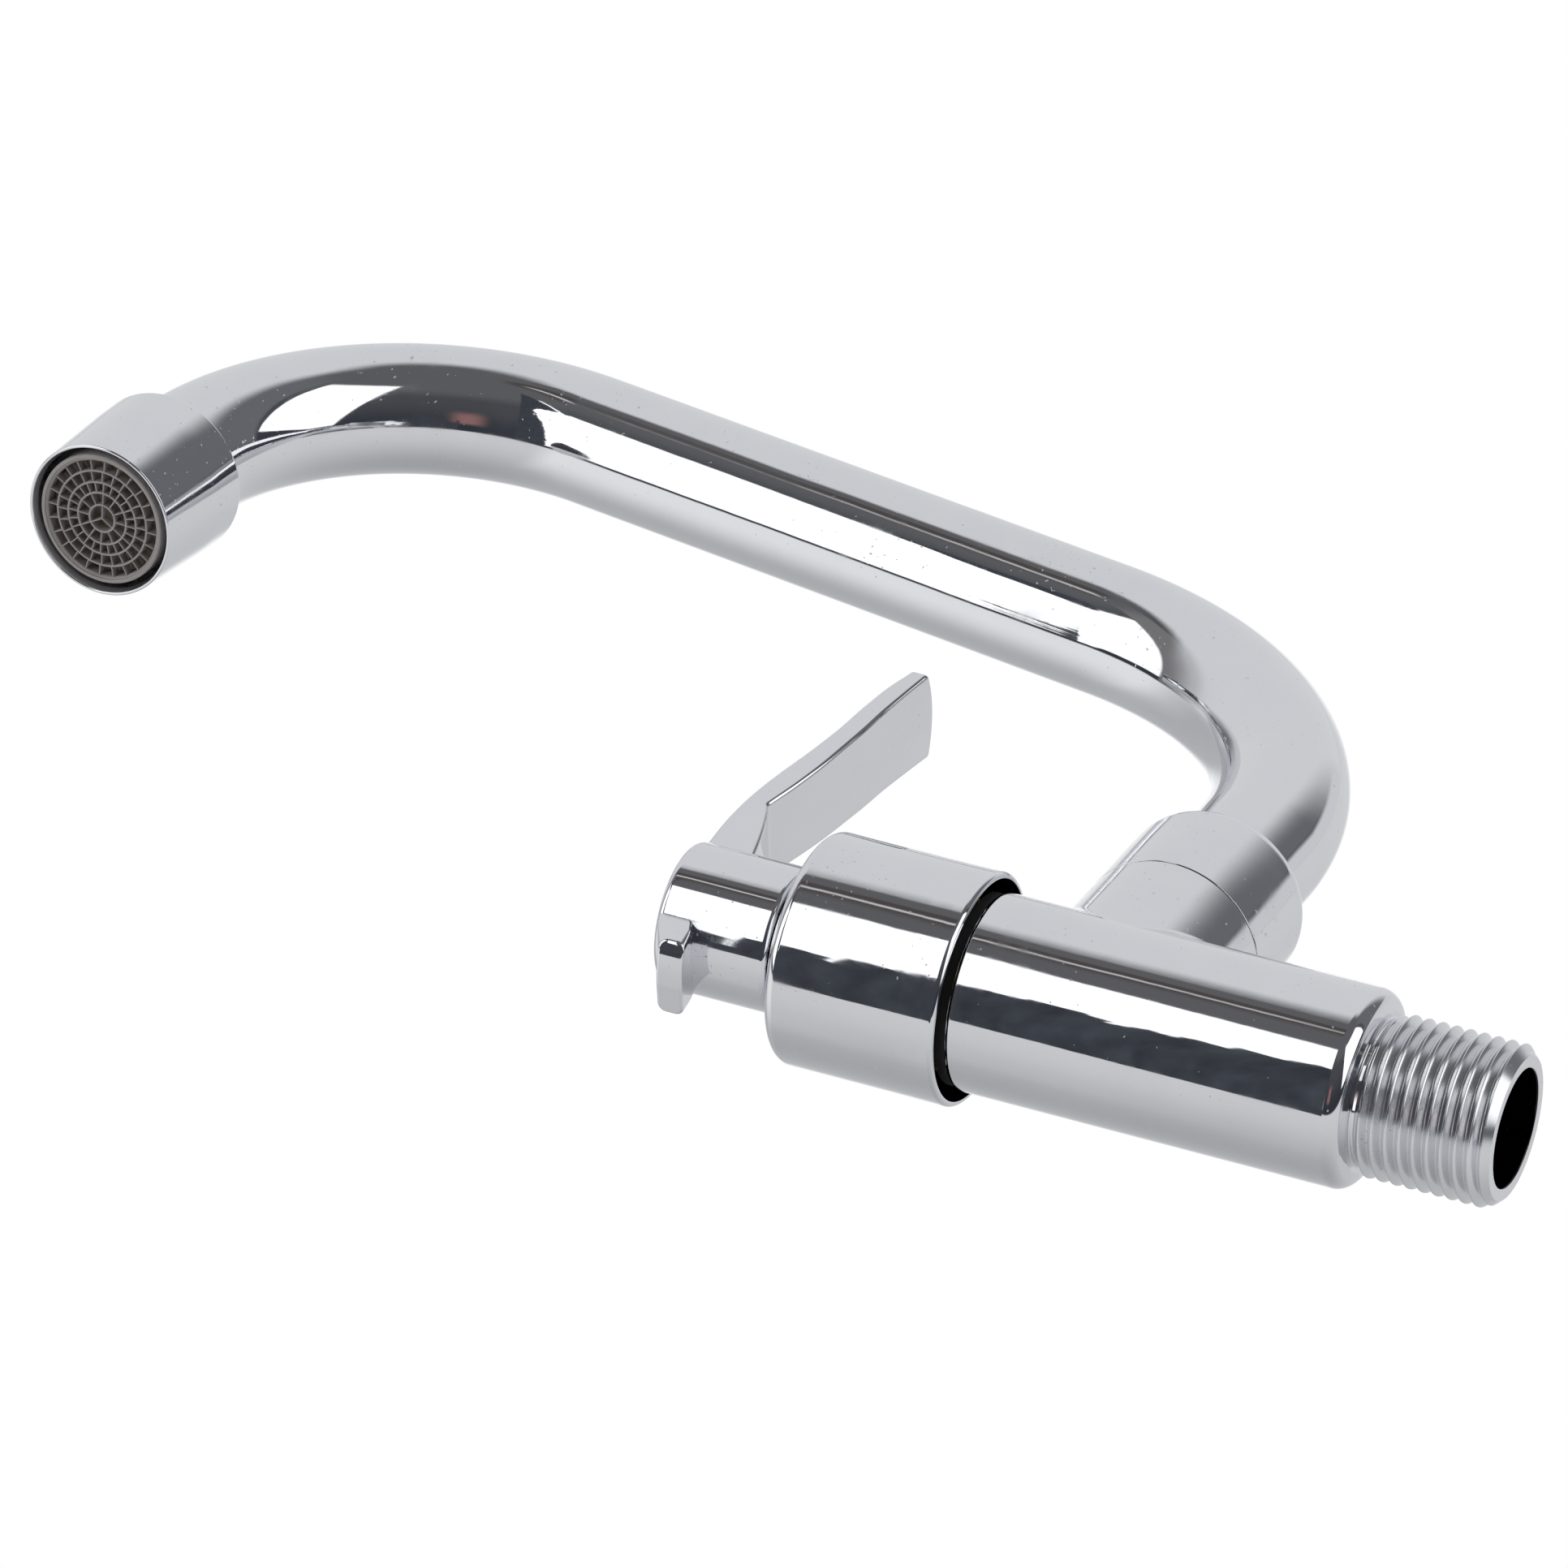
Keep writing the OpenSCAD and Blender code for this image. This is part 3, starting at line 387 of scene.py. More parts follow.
def thread_skin(rows=290):
    """Radius over (turn a, distance s from the shoulder), capped by two 45 degree cones.

    The wave is arcsin(k sin(2 pi (s / pitch - a / 2 pi))) / arcsin(k) with k = SHARP.
    """
    s = np.linspace(THREAD_LEN, RELIEF, rows)[:, None]
    a = ROUND[None, :]
    wave = np.arcsin(SHARP * np.sin(2 * np.pi * (s / PITCH - a / (2 * np.pi)))) / np.arcsin(SHARP)
    r = THREAD_R - DEPTH + DEPTH * (0.5 + 0.5 * wave)
    r = np.minimum(r, THREAD_R - LEAD + (THREAD_LEN - s))
    r = np.minimum(r, THREAD_R - DEPTH + (s - RELIEF))
    points = np.stack([r * np.sin(a), r * np.cos(a), -s + 0 * a], -1)
    n = normals_of(points)
    outward = (n[..., 0] * np.sin(a) + n[..., 1] * np.cos(a)).mean() > 0
    return points, n if outward else -n


# %% Body: the skin from the fillet to the branch's top, and the rings that close it
TOP_ROUND = 0.25  # the wall ends this far under the branch's top, for the edge's rounding


def branch_wall():
    """Straight wall from the fillet's upper edge to the branch's top."""
    n = np.stack([np.cos(HOLE), 0 * HOLE, np.sin(HOLE)], -1)
    level = 0 * HOLE + BRANCH_TOP - TOP_ROUND
    top = np.stack([BRANCH_R * n[:, 0], level, SPOUT_OUT + BRANCH_R * n[:, 2]], -1)
    return np.stack([fillet_high, top]), np.stack([n, n])


# from the barrel's end inwards: the cartridge's bore, the chamber, the passage, the inlet's bore
BORE_R, CHAMBER_R, PASSAGE_R, INLET_R = 10.45, 9.6, 5.9, 7.6
BORE_FLOOR, CHAMBER_FLOOR, PASSAGE_END, INLET_END = 38.85, 26.0, 13.7, 12.0
front = turned([(BARREL_R, BARREL_END - END_ROUND), (BARREL_R, BARREL_END, END_ROUND),
                (BORE_R, BARREL_END, 0.2), (BORE_R, BORE_FLOOR), (CHAMBER_R, BORE_FLOOR),
                (CHAMBER_R, CHAMBER_FLOOR), (PASSAGE_R, CHAMBER_FLOOR), (PASSAGE_R, PASSAGE_END),
                (INLET_R, INLET_END), (INLET_R, -THREAD_LEN, 0.25), (THREAD_R - LEAD, -THREAD_LEN)],
               closed=False)
# the groove's floor, a narrow step, and the shoulder that swells out to the barrel
STEP, STEP_R, SWELL = 0.1, 10.3, 1.0
rear = turned([(THREAD_R - DEPTH, -RELIEF), (THREAD_R - DEPTH, STEP, 0.25), (STEP_R, STEP, 0.6),
               (BARREL_R, SWELL, 2.2), (BARREL_R, SHOULDER_END)], closed=False)
# the branch's top looks along the inlet frame's y axis, so its rings are turned to stand on it
UPRIGHT = shift(0, 0, SPOUT_OUT) @ turn("x", -90)
NECK_R, NECK_TOP, SOCKET_R, SOCKET_FLOOR = 10.9, 29.5, 8.6, 13.0
crown = [placed(sheet, UPRIGHT) for sheet in turned(
    [(BRANCH_R, BRANCH_TOP - TOP_ROUND), (BRANCH_R, BRANCH_TOP, 0.1), (NECK_R, BRANCH_TOP),
     (NECK_R, NECK_TOP, 0.5), (SOCKET_R, NECK_TOP, 0.3), (SOCKET_R, SOCKET_FLOOR), (0, SOCKET_FLOOR)],
    closed=False, round_at=HOLE)]
body_sheets = [fillet, barrel, thread_skin(), branch_wall(), *front, *rear, *crown]
solid("body_casting", [placed(sheet, INLET) for sheet in body_sheets], CHROME, "tap",
      ["tap_body"])

# %% [markdown]
# ## Cover, nut and hub
#
# The cover is a thin cup, so its open rim shows the wall's thickness and a dark gap round the
# barrel. Its rim flares a little, as it does when it is pressed. The nut is a ring with a slightly
# crowned side, which bends reflections, and a well rounded top edge.

# %% The bonnet cover and its collar
COVER_R, RIM_R, RIM_BORE_R, COLLAR_R = 15.08, 15.15, 14.35, 9.35
HOLLOW_R, HOLLOW_END, NECK_HOLE_R, LID_BACK = 14.2, 73.25, 8.85, 76.95
cover = turned([(RIM_BORE_R, COVER_BACK, 0.08), (RIM_R, COVER_BACK, 0.68), (15.11, COVER_BACK + 2.0, 40),
                (COVER_R, COVER_BACK + 5.0, 60), (COVER_R, COVER_FRONT, 1.5),
                (COLLAR_R, COVER_FRONT, 0.6), (COLLAR_R, COLLAR_FRONT, 0.15), (6.0, COLLAR_FRONT),
                (6.0, LID_BACK), (NECK_HOLE_R, LID_BACK), (NECK_HOLE_R, HOLLOW_END),
                (HOLLOW_R, HOLLOW_END, 0.5)], round_at=FINE)
solid("bonnet_cover_shell", [placed(s, INLET) for s in cover], CHROME, "tap",
      ["bonnet_cover"])

# %% The swivel nut
NUT_LOW, NUT_TOP, NUT_BORE_R, ROOF_LOW, ROOF_R = 21.4, 39.1, 10.95, 34.7, 9.2
nut = turned([(NUT_BORE_R, NUT_LOW, 0.1), (BRANCH_R, NUT_LOW, 0.1), (BRANCH_R + 0.12, 29.5, 400),
              (BRANCH_R, NUT_TOP, 3.4), (ROOF_R, NUT_TOP, 0.5), (ROOF_R, ROOF_LOW),
              (NUT_BORE_R, ROOF_LOW)], round_at=FINE)
solid("swivel_nut_shell", [placed(s, SWIVEL) for s in nut], CHROME, "tap",
      ["swivel_nut"])

# %% [markdown]
# ## The spout
#
# The spout is one brass tube, bent twice in one plane. Its centre line is a straight rise, an arc, a
# slope, a second arc and a short end, and a circle is carried square to it.


# %% The tube
def spout_path():
    """Centre line in the spout's plane, as distance out, height, and angle from upright."""
    one = np.radians(np.linspace(0, BEND1_A, 61))
    two = np.radians(np.linspace(BEND1_A, BEND1_A + BEND2_A, 73))
    x1, z1 = BEND1_R * (1 - np.cos(one)), RISE_TOP + BEND1_R * np.sin(one)
    sx, sz = x1[-1] + SLOPE * np.sin(one[-1]), z1[-1] + SLOPE * np.cos(one[-1])
    x2 = sx + BEND2_R * (np.cos(one[-1]) - np.cos(two))
    z2 = sz + BEND2_R * (np.sin(two) - np.sin(one[-1]))
    ex, ez = x2[-1] + TUBE_END * np.sin(two[-1]), z2[-1] + TUBE_END * np.cos(two[-1])
    x = np.concatenate([[0], x1, x2, [ex]])
    z = np.concatenate([[TUBE_LOW], z1, z2, [ez]])
    return x, z, np.concatenate([[0], one, two, [two[-1]]])


def pipe(radius, inside=False):
    """Circle of one radius carried along the centre line, square to it."""
    x, z, angle = spout_path()
    ax, az = np.cos(angle)[:, None], -np.sin(angle)[:, None]
    c, s = np.cos(FINE)[None, :], np.sin(FINE)[None, :]
    n = np.stack([ax * c, s + 0 * ax, az * c], -1)
    points = np.stack([x[:, None] + 0 * c, 0 * x[:, None] * c, z[:, None] + 0 * c], -1) + radius * n
    return points, -n if inside else n


def pipe_end(row, way):
    """Flat ring between the bore and the outside at one end of the tube."""
    angle = spout_path()[2][row]
    ends = np.stack([pipe(TUBE_R)[0][row], pipe(TUBE_BORE_R)[0][row]])
    n = np.array([np.sin(angle), 0, np.cos(angle)]) * way
    return ends, np.broadcast_to(n, ends.shape)


tube_sheets = [pipe(TUBE_R), pipe(TUBE_BORE_R, inside=True), pipe_end(0, -1), pipe_end(-1, 1)]
solid("spout_tube_bent", [placed(s, SPOUT) for s in tube_sheets], CHROME, "spout",
      ["spout_tube"])

# %% [markdown]
# ## The lever
#
# The lever is cast in one piece: a round hub, a long blade that falls back in a slight S, and a
# short tail. Its section at each height is a rectangle with rounded edges, carried from the tip to
# the tail. Smooth curves through measured heights give its front and back.

# %% The lever's blade and tail
LEVER_LEN, TAIL_LEN, TIP_HALF, CROWN = 53.8, 13.8, 6.55, 1.5


def smooth_curve(knots, h):
    """Piecewise cubic through (height, value) knots, with slopes from the neighbours' chords."""
    k = np.array(knots, float)
    x, y = k[:, 0], k[:, 1]
    slope = np.gradient(y, x)
    i = np.clip(np.searchsorted(x, h) - 1, 0, len(x) - 2)
    w = x[i + 1] - x[i]
    t = (h - x[i]) / w
    return ((1 + 2 * t) * (1 - t) ** 2 * y[i] + t * (1 - t) ** 2 * w * slope[i]
            + t * t * (3 - 2 * t) * y[i + 1] + t * t * (t - 1) * w * slope[i + 1])


# (height above the hub's axis, place along it) for the front, for the rear below and above the
# crease, and (height, half of the width)
FRONT_FACE = [(-13.8, 91.25), (-11, 92.5), (-8, 93.6), (-4, 94.25), (0, 94.35), (9, 94.4), (14, 94.3),
              (19, 93.75), (25, 92.45), (31, 90.75), (37, 89.3), (43.5, 88.15), (48.5, 87.15), (53.8, 85.6)]
REAR_ROOT = [(-13.8, 87.8), (-10, 88.3), (-7, 88.9), (0, 88.4), (7, 87.6), (9, 87.95), (12, 88.55),
             (15, 89.3), (17.5, 90.1), (18.8, 90.6)]
REAR_BLADE = [(18.8, 90.6), (24.3, 88.9), (29.1, 87.65), (34, 86.65), (38.5, 85.8), (43, 85.1),
              (48, 84.2), (53.8, 83.1)]
CREASE = 18.8
HALF_WIDTH = [(-13.8, 5.3), (-7, 5.45), (0, 5.6), (8, 5.57), (19, 5.75), (35, 6.15), (53.8, 6.55)]


def rounded_box(wide, front_out, rear_out, q, flat=15, arc=7):
    """Columns round a box with edges of radius q. Each row has its own half-width, front and rear."""
    quarter = np.linspace(0, np.pi / 2, arc)
    points = []
    for k, (sx, sy) in enumerate([(1, 1), (-1, 1), (-1, -1), (1, -1)]):
        a = quarter + k * np.pi / 2
        cx, cy = sx * (wide - q)[:, None], np.where(sy > 0, front_out - q, rear_out + q)[:, None]
        points.append(np.stack([cx + q[:, None] * np.cos(a), cy + q[:, None] * np.sin(a)], -1))
    ring = []
    t = np.linspace(0, 1, flat)[1:-1, None]
    for k in range(4):
        here, there = points[k][:, -1:], points[(k + 1) % 4][:, :1]
        ring += [points[k], here * (1 - t) + there * t]
    return np.concatenate(ring + [points[0][:, :1]], 1)


def tip_drop(x):
    """How far the rounded tip falls off sideways: the sagitta r - sqrt(r^2 - x^2) of a circle."""
    r = (TIP_HALF ** 2 + CROWN ** 2) / (2 * CROWN)
    return r - np.sqrt(r * r - x * x)


def tail_drop(x):
    """The tail's end bulges to one side and is flat on the other, with a low ridge at x = -1.

    With s = x + 1 its height is 0.03 s + 0.005 s^3 on one side and -0.09 s on the other.
    """
    s = x + 1.0
    return np.where(s > 0, 0.03 * s + 0.005 * s ** 3, -0.09 * s)


def blade_skin(edge=0.65, rim=0.35):
    """The section carried from tail to tip, with rounded rims at both ends and a flat cap on each."""
    b = np.linspace(0, np.pi / 2, 7)[1:]
    h = np.concatenate([np.linspace(-TAIL_LEN + rim, -6, 28), np.linspace(-5, 7, 7),
                        np.linspace(7.4, CREASE, 30), np.linspace(CREASE, LEVER_LEN - rim, 70)[1:]])
    rear = np.where(h <= CREASE, smooth_curve(REAR_ROOT, np.minimum(h, CREASE)),
                    smooth_curve(REAR_BLADE, np.maximum(h, CREASE)))
    rows = [smooth_curve(HALF_WIDTH, h), smooth_curve(FRONT_FACE, h), rear, h]
    wide, f, r, h = (np.concatenate([np.full(6, v[0]), v, np.full(6, v[-1])]) for v in rows)
    grow = np.concatenate([-rim * np.sin(b[::-1]), np.zeros(len(h) - 12), rim * np.sin(b)])
    shrink = np.concatenate([rim * (1 - np.cos(b[::-1])), np.zeros(len(h) - 12), rim * (1 - np.cos(b))])
    tail_edge = 0.55 * np.clip(1 - (h + TAIL_LEN) / 4, 0, 1)
    ring = rounded_box(wide - shrink, f - shrink, r + shrink, edge + tail_edge - 0.8 * shrink)
    near_tip = np.clip(1 - (LEVER_LEN - h) / 12, 0, 1)[:, None]
    near_tail = np.clip(1 - (h + TAIL_LEN) / 5, 0, 1)[:, None]
    height = (h + grow)[:, None] - tip_drop(ring[..., 0]) * near_tip + tail_drop(ring[..., 0]) * near_tail
    points = np.stack([ring[..., 0], height, ring[..., 1]], -1)
    n = normals_of(points)
    middle = points.mean(1, keepdims=True)
    n = n if ((points - middle) * n).sum() > 0 else -n
    sheets = [(points, n)]
    for row, way, drop in ((0, -1.0, tail_drop), (-1, 1.0, lambda x: -tip_drop(x))):
        flat = points[row].copy()
        flat[:, 2] = (f[row] + r[row]) / 2
        cap = np.stack([points[row], flat])
        # the cap's normal leans by the slope of its drop
        lean = (drop(flat[:, 0] + 0.01) - drop(flat[:, 0] - 0.01)) / 0.02
        n = np.stack([-lean, 1 + 0 * lean, 0 * lean], -1) * way / np.hypot(1, lean)[:, None]
        sheets.append((cap, np.broadcast_to(n, cap.shape)))
    return sheets


# a socket for the spindle's end, and a cap over the screw in front
SPINDLE_R, SPINDLE_END, FACE, CAP_R, CAP_LOW = 4.05, 87.9, HUB_FRONT - 0.4, 5.1, 93.0
hub = turned([(HUB_R, HUB_BACK, 0.9), (HUB_R, FACE, 1.0), (0, FACE), (0, SPINDLE_END),
              (SPINDLE_R, SPINDLE_END), (SPINDLE_R, HUB_BACK)], round_at=FINE)
lever = [placed(s, LEVER) for s in blade_skin() + hub]
solid("lever_casting", lever, CHROME, "lever", ["lever_handle"])
cap = turned([(0, CAP_LOW), (CAP_R, CAP_LOW), (CAP_R, HUB_FRONT - 0.2, 0.3), (0, HUB_FRONT)], round_at=FINE)
solid("lever_cap", [placed(s, INLET) for s in cap], CHROME, "lever", ["handle_cap"])

# %% [markdown]
# ## The aerator
#
# The aerator's sleeve has a thin rolled mouth. Its grey core sits a little inside: a moulded rim,
# then a grille of ring walls joined by short ribs. The stream leaves through it as a soft bundle.

# %% The sleeve
# it tapers to its mouth, whose thin lip is bevelled down to the mouth's bore
AER_START, AER_END, AER_R, AER_MOUTH_R = 3.5, 21.4, 11.5, 10.85
LIP_R, MOUTH_R, AER_BORE_R, BORE_END = 10.45, 10.1, 10.75, 14.3
sleeve = turned([(AER_BORE_R, AER_START, 0.3), (AER_R, AER_START, 0.5), (AER_R - 0.1, 9.0, 80),
                 (AER_MOUTH_R, AER_END, 0.2), (LIP_R, AER_END, 0.15), (MOUTH_R, AER_END - 1.0, 0.5),
                 (MOUTH_R, BORE_END), (AER_BORE_R, BORE_END)], round_at=FINE)
solid("aerator_sleeve", [placed(s, OUTLET) for s in sleeve], CHROME, "spout",
      ["aerator_housing"])

# %% [markdown]
# The core is moulded of grey acetal. Its mould is finely blasted, so the eye sees soft, broad
# highlights, and each thin rib shows by its lit crest over the dark ground.

# %% Moulded grey acetal, and the core
def moulded_plastic(name, colour, dark):
    """Matt surface with a fine grain and slightly darker clouds."""
    material, tree, shader, place = new_material(name)
    grain = add_node(tree, "ShaderNodeTexNoise", {"Vector": place, "Scale": 2500.0, "Detail": 2.0})
    cloud = add_node(tree, "ShaderNodeTexNoise", {"Vector": place, "Scale": 250.0, "Detail": 2.0})
    tint = add_node(tree, "ShaderNodeMix", {"Factor": cloud.outputs["Fac"], "A": linear(dark),
                                           "B": linear(colour)}, data_type="RGBA")
    bump = add_node(tree, "ShaderNodeBump", {"Height": grain.outputs["Fac"], "Strength": 0.3,
                                            "Distance": 0.00005})
    tree.links.new(tint.outputs["Result"], shader.inputs["Base Color"])
    tree.links.new(bump.outputs["Normal"], shader.inputs["Normal"])
    shader.inputs["Roughness"].default_value = 0.42
    return material


ACETAL = moulded_plastic("moulded_grey_acetal", "#AFAAA8", "#9A9594")
CORE_END, GRILLE_TOP, GRILLE_FLOOR = 21.0, 20.75, 19.3
RINGS = [8.37, 6.88, 5.25, 3.72, 1.95]
RIBS = [(24, 0.0), (24, 0.15), (24, 0.0), (12, 0.0)]  # how many, and by what share they are turned
WALL = 0.15  # half of a ring wall


def rib(inner, outer, angle, thick=0.2, low=GRILLE_FLOOR, high=GRILLE_TOP):
    """A small wall from one ring to the next: a section with a round crest, carried outwards.

    Its sheets are the walls with the crest, the bottom, and a fan of triangles at each end.
    """
    a = np.linspace(0, np.pi, 5)
    half = thick / 2
    y = np.concatenate([[half], half * np.cos(a), [-half]])
    z = np.concatenate([[low], high - half + half * np.sin(a), [low]])
    ny = np.concatenate([[1], np.cos(a), [-1]])
    nz = np.concatenate([[0], np.sin(a), [0]])
    points = np.stack([np.stack([np.full_like(y, r), y, z], -1) for r in (inner, outer)])
    sheets = [(points, np.broadcast_to(np.stack([0 * ny, ny, nz], -1), points.shape)),
              (points[:, [0, -1]], np.broadcast_to([0.0, 0, -1], (2, 2, 3)))]
    for end, way in ((points[0], -1.0), (points[1], 1.0)):
        ring = np.concatenate([end, end[:1]])
        fan = np.stack([ring, np.broadcast_to(end[:1], ring.shape)])
        sheets.append((fan, np.broadcast_to([way, 0, 0], fan.shape)))
    return [placed(sheet, turn("z", angle)) for sheet in sheets]


# the cup round the grille, with a flange that the sleeve's bore holds
CUP_R, CUP_LOW, FLANGE_R, FLANGE_LOW = 9.3, 13.0, 10.6, 12.0
core = turned([(RINGS[0], CUP_LOW), (FLANGE_R, FLANGE_LOW), (FLANGE_R, FLANGE_LOW + 1.2), (CUP_R, 13.4),
               (CUP_R, CORE_END, 0.25), (8.75, CORE_END, 0.12), (8.7, GRILLE_TOP, 0.1),
               (RINGS[0] + 0.15, GRILLE_TOP, 0.1), (RINGS[0], GRILLE_TOP - 0.2)], round_at=FINE)
for radius in RINGS[1:]:
    inside, outside = radius - WALL, radius + WALL
    core += turned([(inside, GRILLE_FLOOR), (outside, GRILLE_FLOOR), (outside, GRILLE_TOP, 0.12),
                    (inside, GRILLE_TOP, 0.12)])
for k, (count, share) in enumerate(RIBS):
    for i in range(count):
        core += rib(RINGS[k + 1] + 0.1, RINGS[k], (i + share) * 360 / count)
for angle in (90, 210, 330):
    core += rib(0.0, RINGS[4] - 0.1, angle)
solid("aerator_grille", [placed(s, OUTLET) for s in core], ACETAL, "spout",
      ["aerator_core"])

# %% [markdown]
# A fine steel screen lies close under the grille. Lime has dulled it, so it shows as a brownish
# grey ground between the ribs, and it is drawn as a plain disc.

# %% The screen
LIMED = moulded_plastic("limed_steel_screen", "#B5A593", "#978878")
SCREEN_R, SCREEN_LOW, SCREEN_TOP = 8.2, 17.3, GRILLE_FLOOR - 0.25
screen = turned([(0, SCREEN_LOW), (SCREEN_R, SCREEN_LOW), (SCREEN_R, SCREEN_TOP, 0.1), (0, SCREEN_TOP)],
                closed=False)
solid("aerator_screen", [placed(s, OUTLET) for s in screen], LIMED, "spout",
      ["aerator_mesh"])

# %% [markdown]
# ## Pieces inside
#
# The pieces that carry, seal and turn are hidden, but each has its own finish: machined brass,
# nitrile rubber, lapped ceramic, nylon and stainless steel.

# %% Finishes for the inner pieces
def simple_finish(name, colour, second, scale, roughness, metallic=0.0, grain=0.2):
    """Two close tints mixed by noise, with a fine bump of the same noise."""
    material, tree, shader, place = new_material(name)
    noise = add_node(tree, "ShaderNodeTexNoise", {"Vector": place, "Scale": scale, "Detail": 4.0})
    tint = add_node(tree, "ShaderNodeMix", {"Factor": noise.outputs["Fac"], "A": linear(colour),
                                           "B": linear(second)}, data_type="RGBA")
    bump = add_node(tree, "ShaderNodeBump", {"Height": noise.outputs["Fac"], "Strength": grain,
                                            "Distance": 0.0001})
    tree.links.new(tint.outputs["Result"], shader.inputs["Base Color"])
    tree.links.new(bump.outputs["Normal"], shader.inputs["Normal"])
    shader.inputs["Roughness"].default_value = roughness
    shader.inputs["Metallic"].default_value = metallic
    return material


FINISHES = {
    # bright and warm, blurred a little by the tool's marks
    "brass": simple_finish("machined_brass", "#D8B56A", "#C49F58", 3000.0, 0.28, 1.0, 0.15),
    # nearly black, with a dull sheen
    "seal_rubber": simple_finish("nitrile_rubber", "#232323", "#1A1A1A", 2200.0, 0.6),
    # creamy white and glossy, because both discs are lapped flat
    "ceramic": simple_finish("lapped_ceramic", "#F1EEE6", "#E7E3DA", 500.0, 0.12, 0.0, 0.02),
    # soft off-white
    "white_nylon": simple_finish("white_nylon", "#EBEAE4", "#E0DED6", 900.0, 0.45, 0.0, 0.1),
    # grey metal, blurred by rolling
    "spring_steel": simple_finish("stainless_steel", "#B4B4B6", "#9C9C9F", 2600.0, 0.3, 1.0, 0.15),
    "grey_plastic": ACETAL, "chrome_plate": CHROME}
for part in frame["record"]["subparts"]:
    piece = nodes[part["node"]]
    if not piece.hide_render:
        piece.data.materials.clear()
        # the nipple's rim shows above the sleeve, and it is plated together with the tube
        plated = part["node"] == "outlet_nipple"
        piece.data.materials.append(CHROME if plated else FINISHES[part["material_slot"]])
print("finishes:", sorted(FINISHES))

# %% [markdown]
# ## The studio
#
# The photo was taken with a long lens from below and behind the wall's plane. The camera's place and
# direction were worked out from the thread, the barrel, the nut, the tube and the aerator. The pale
# floor shows from above only, because the photo's view from below has white behind the tap.

# %% Camera
RIGHT = np.array([0.04836995, 0.91105373, 0.40944042])
DOWN = np.array([-0.88377293, 0.23004134, -0.40746335])
AHEAD = np.array([-0.46540923, -0.34214338, 0.81629171])
CAMERA_AT = (0.633469, 0.368492, -1.072804)
FOCAL_PIXELS, PHOTO_PIXELS, SENSOR = 12997.19, 1932, 36.0
lens = bpy.data.cameras.new("camera")
lens.sensor_width, lens.lens = SENSOR, FOCAL_PIXELS / PHOTO_PIXELS * SENSOR
lens.clip_start, lens.clip_end = 0.05, 20.0
camera = bpy.data.objects.new("camera", lens)
pose = np.eye(4)
pose[:3, 0], pose[:3, 1], pose[:3, 2], pose[:3, 3] = RIGHT, -DOWN, -AHEAD, CAMERA_AT
camera.matrix_world = Matrix(pose.tolist())
bpy.context.scene.collection.objects.link(camera)
bpy.context.scene.camera = camera
bpy.context.scene.view_settings.view_transform = "Standard"

# %% Pale floor under the tap, seen from above only
bpy.ops.mesh.primitive_plane_add(size=6, location=(0, -0.08, -0.07))
floor = bpy.context.object
floor.name = "floor"
paper = bpy.data.materials.new("pale_paper")
paper.use_nodes = True
tree = paper.node_tree
tree.nodes.clear()
ray = add_node(tree, "ShaderNodeLightPath")
back = add_node(tree, "ShaderNodeNewGeometry")
seen = add_node(tree, "ShaderNodeMath", {0: ray.outputs["Is Camera Ray"], 1: back.outputs["Backfacing"]},
                operation="SUBTRACT", use_clamp=True)
sheet = add_node(tree, "ShaderNodeBsdfDiffuse", {"Color": linear("#F4F4F3")})
clear = add_node(tree, "ShaderNodeBsdfTransparent")
mixed = add_node(tree, "ShaderNodeMixShader", {0: seen.outputs[0], 1: clear.outputs[0], 2: sheet.outputs[0]})
add_node(tree, "ShaderNodeOutputMaterial", {"Surface": mixed.outputs[0]})
floor.data.materials.append(paper)

# %% [markdown]
# The plate shows the room round it. Two soft boxes stood at the front and at the back, a pale
# backdrop on one side, and a pale table lay under the tap, which was photographed on its side, so
# the table's normal is the x axis. The rest of the room was dark. All this is painted on the world
# by two angles of each direction: its height above the table, and its bearing from straight out.
# One weak lamp in the front box's place gives the floor its shadow, and the plate doesn't show it.

# %% Soft lamp
key = bpy.data.lights.new("soft_key", "AREA")
key.shape, key.size, key.size_y, key.energy = "RECTANGLE", 0.9, 1.1, 1.2
lamp = bpy.data.objects.new("soft_key", key)
# its columns are its two sides, its back and its place, so it looks at the tap
lamp.matrix_world = Matrix(((0.72, -0.32, 0.61, 0.49), (0.69, 0.26, -0.67, -0.72),
                            (0.06, 0.91, 0.41, 0.55), (0, 0, 0, 1)))
lamp.visible_glossy = False
bpy.context.scene.collection.objects.link(lamp)

# %% [markdown]
# Two black flags keep the front soft box out of parts of the reflections, as in the photo: one
# low along the barrel, with a torn upper edge, and one before the second bend. They stand near
# the tap, so each piece sees them in its own place, which paint on the world could not give.

# %% Black flags, seen in the plate only
flag_paint = bpy.data.materials.new("black_flag")
flag_paint.use_nodes = True
flag_paint.node_tree.nodes.clear()
tree = flag_paint.node_tree
# the cloth is patchy. Its patches are long in x, because a barrel squeezes that direction
spot = add_node(tree, "ShaderNodeTexCoord").outputs["Object"]
aim = add_node(tree, "ShaderNodeMapping", {"Vector": spot, "Scale": (25.0, 260.0, 25.0)})
patch = add_node(tree, "ShaderNodeTexNoise", {"Vector": aim.outputs["Vector"], "Scale": 1.0, "Detail": 3.0})
cloth = add_node(tree, "ShaderNodeMix", {"Factor": patch.outputs["Fac"], "A": (0.012, 0.014, 0.018, 1),
                                        "B": (0.092, 0.102, 0.122, 1)}, data_type="RGBA")
glow = add_node(tree, "ShaderNodeEmission", {"Color": cloth.outputs["Result"]})
add_node(tree, "ShaderNodeOutputMaterial", {"Surface": glow.outputs[0]})


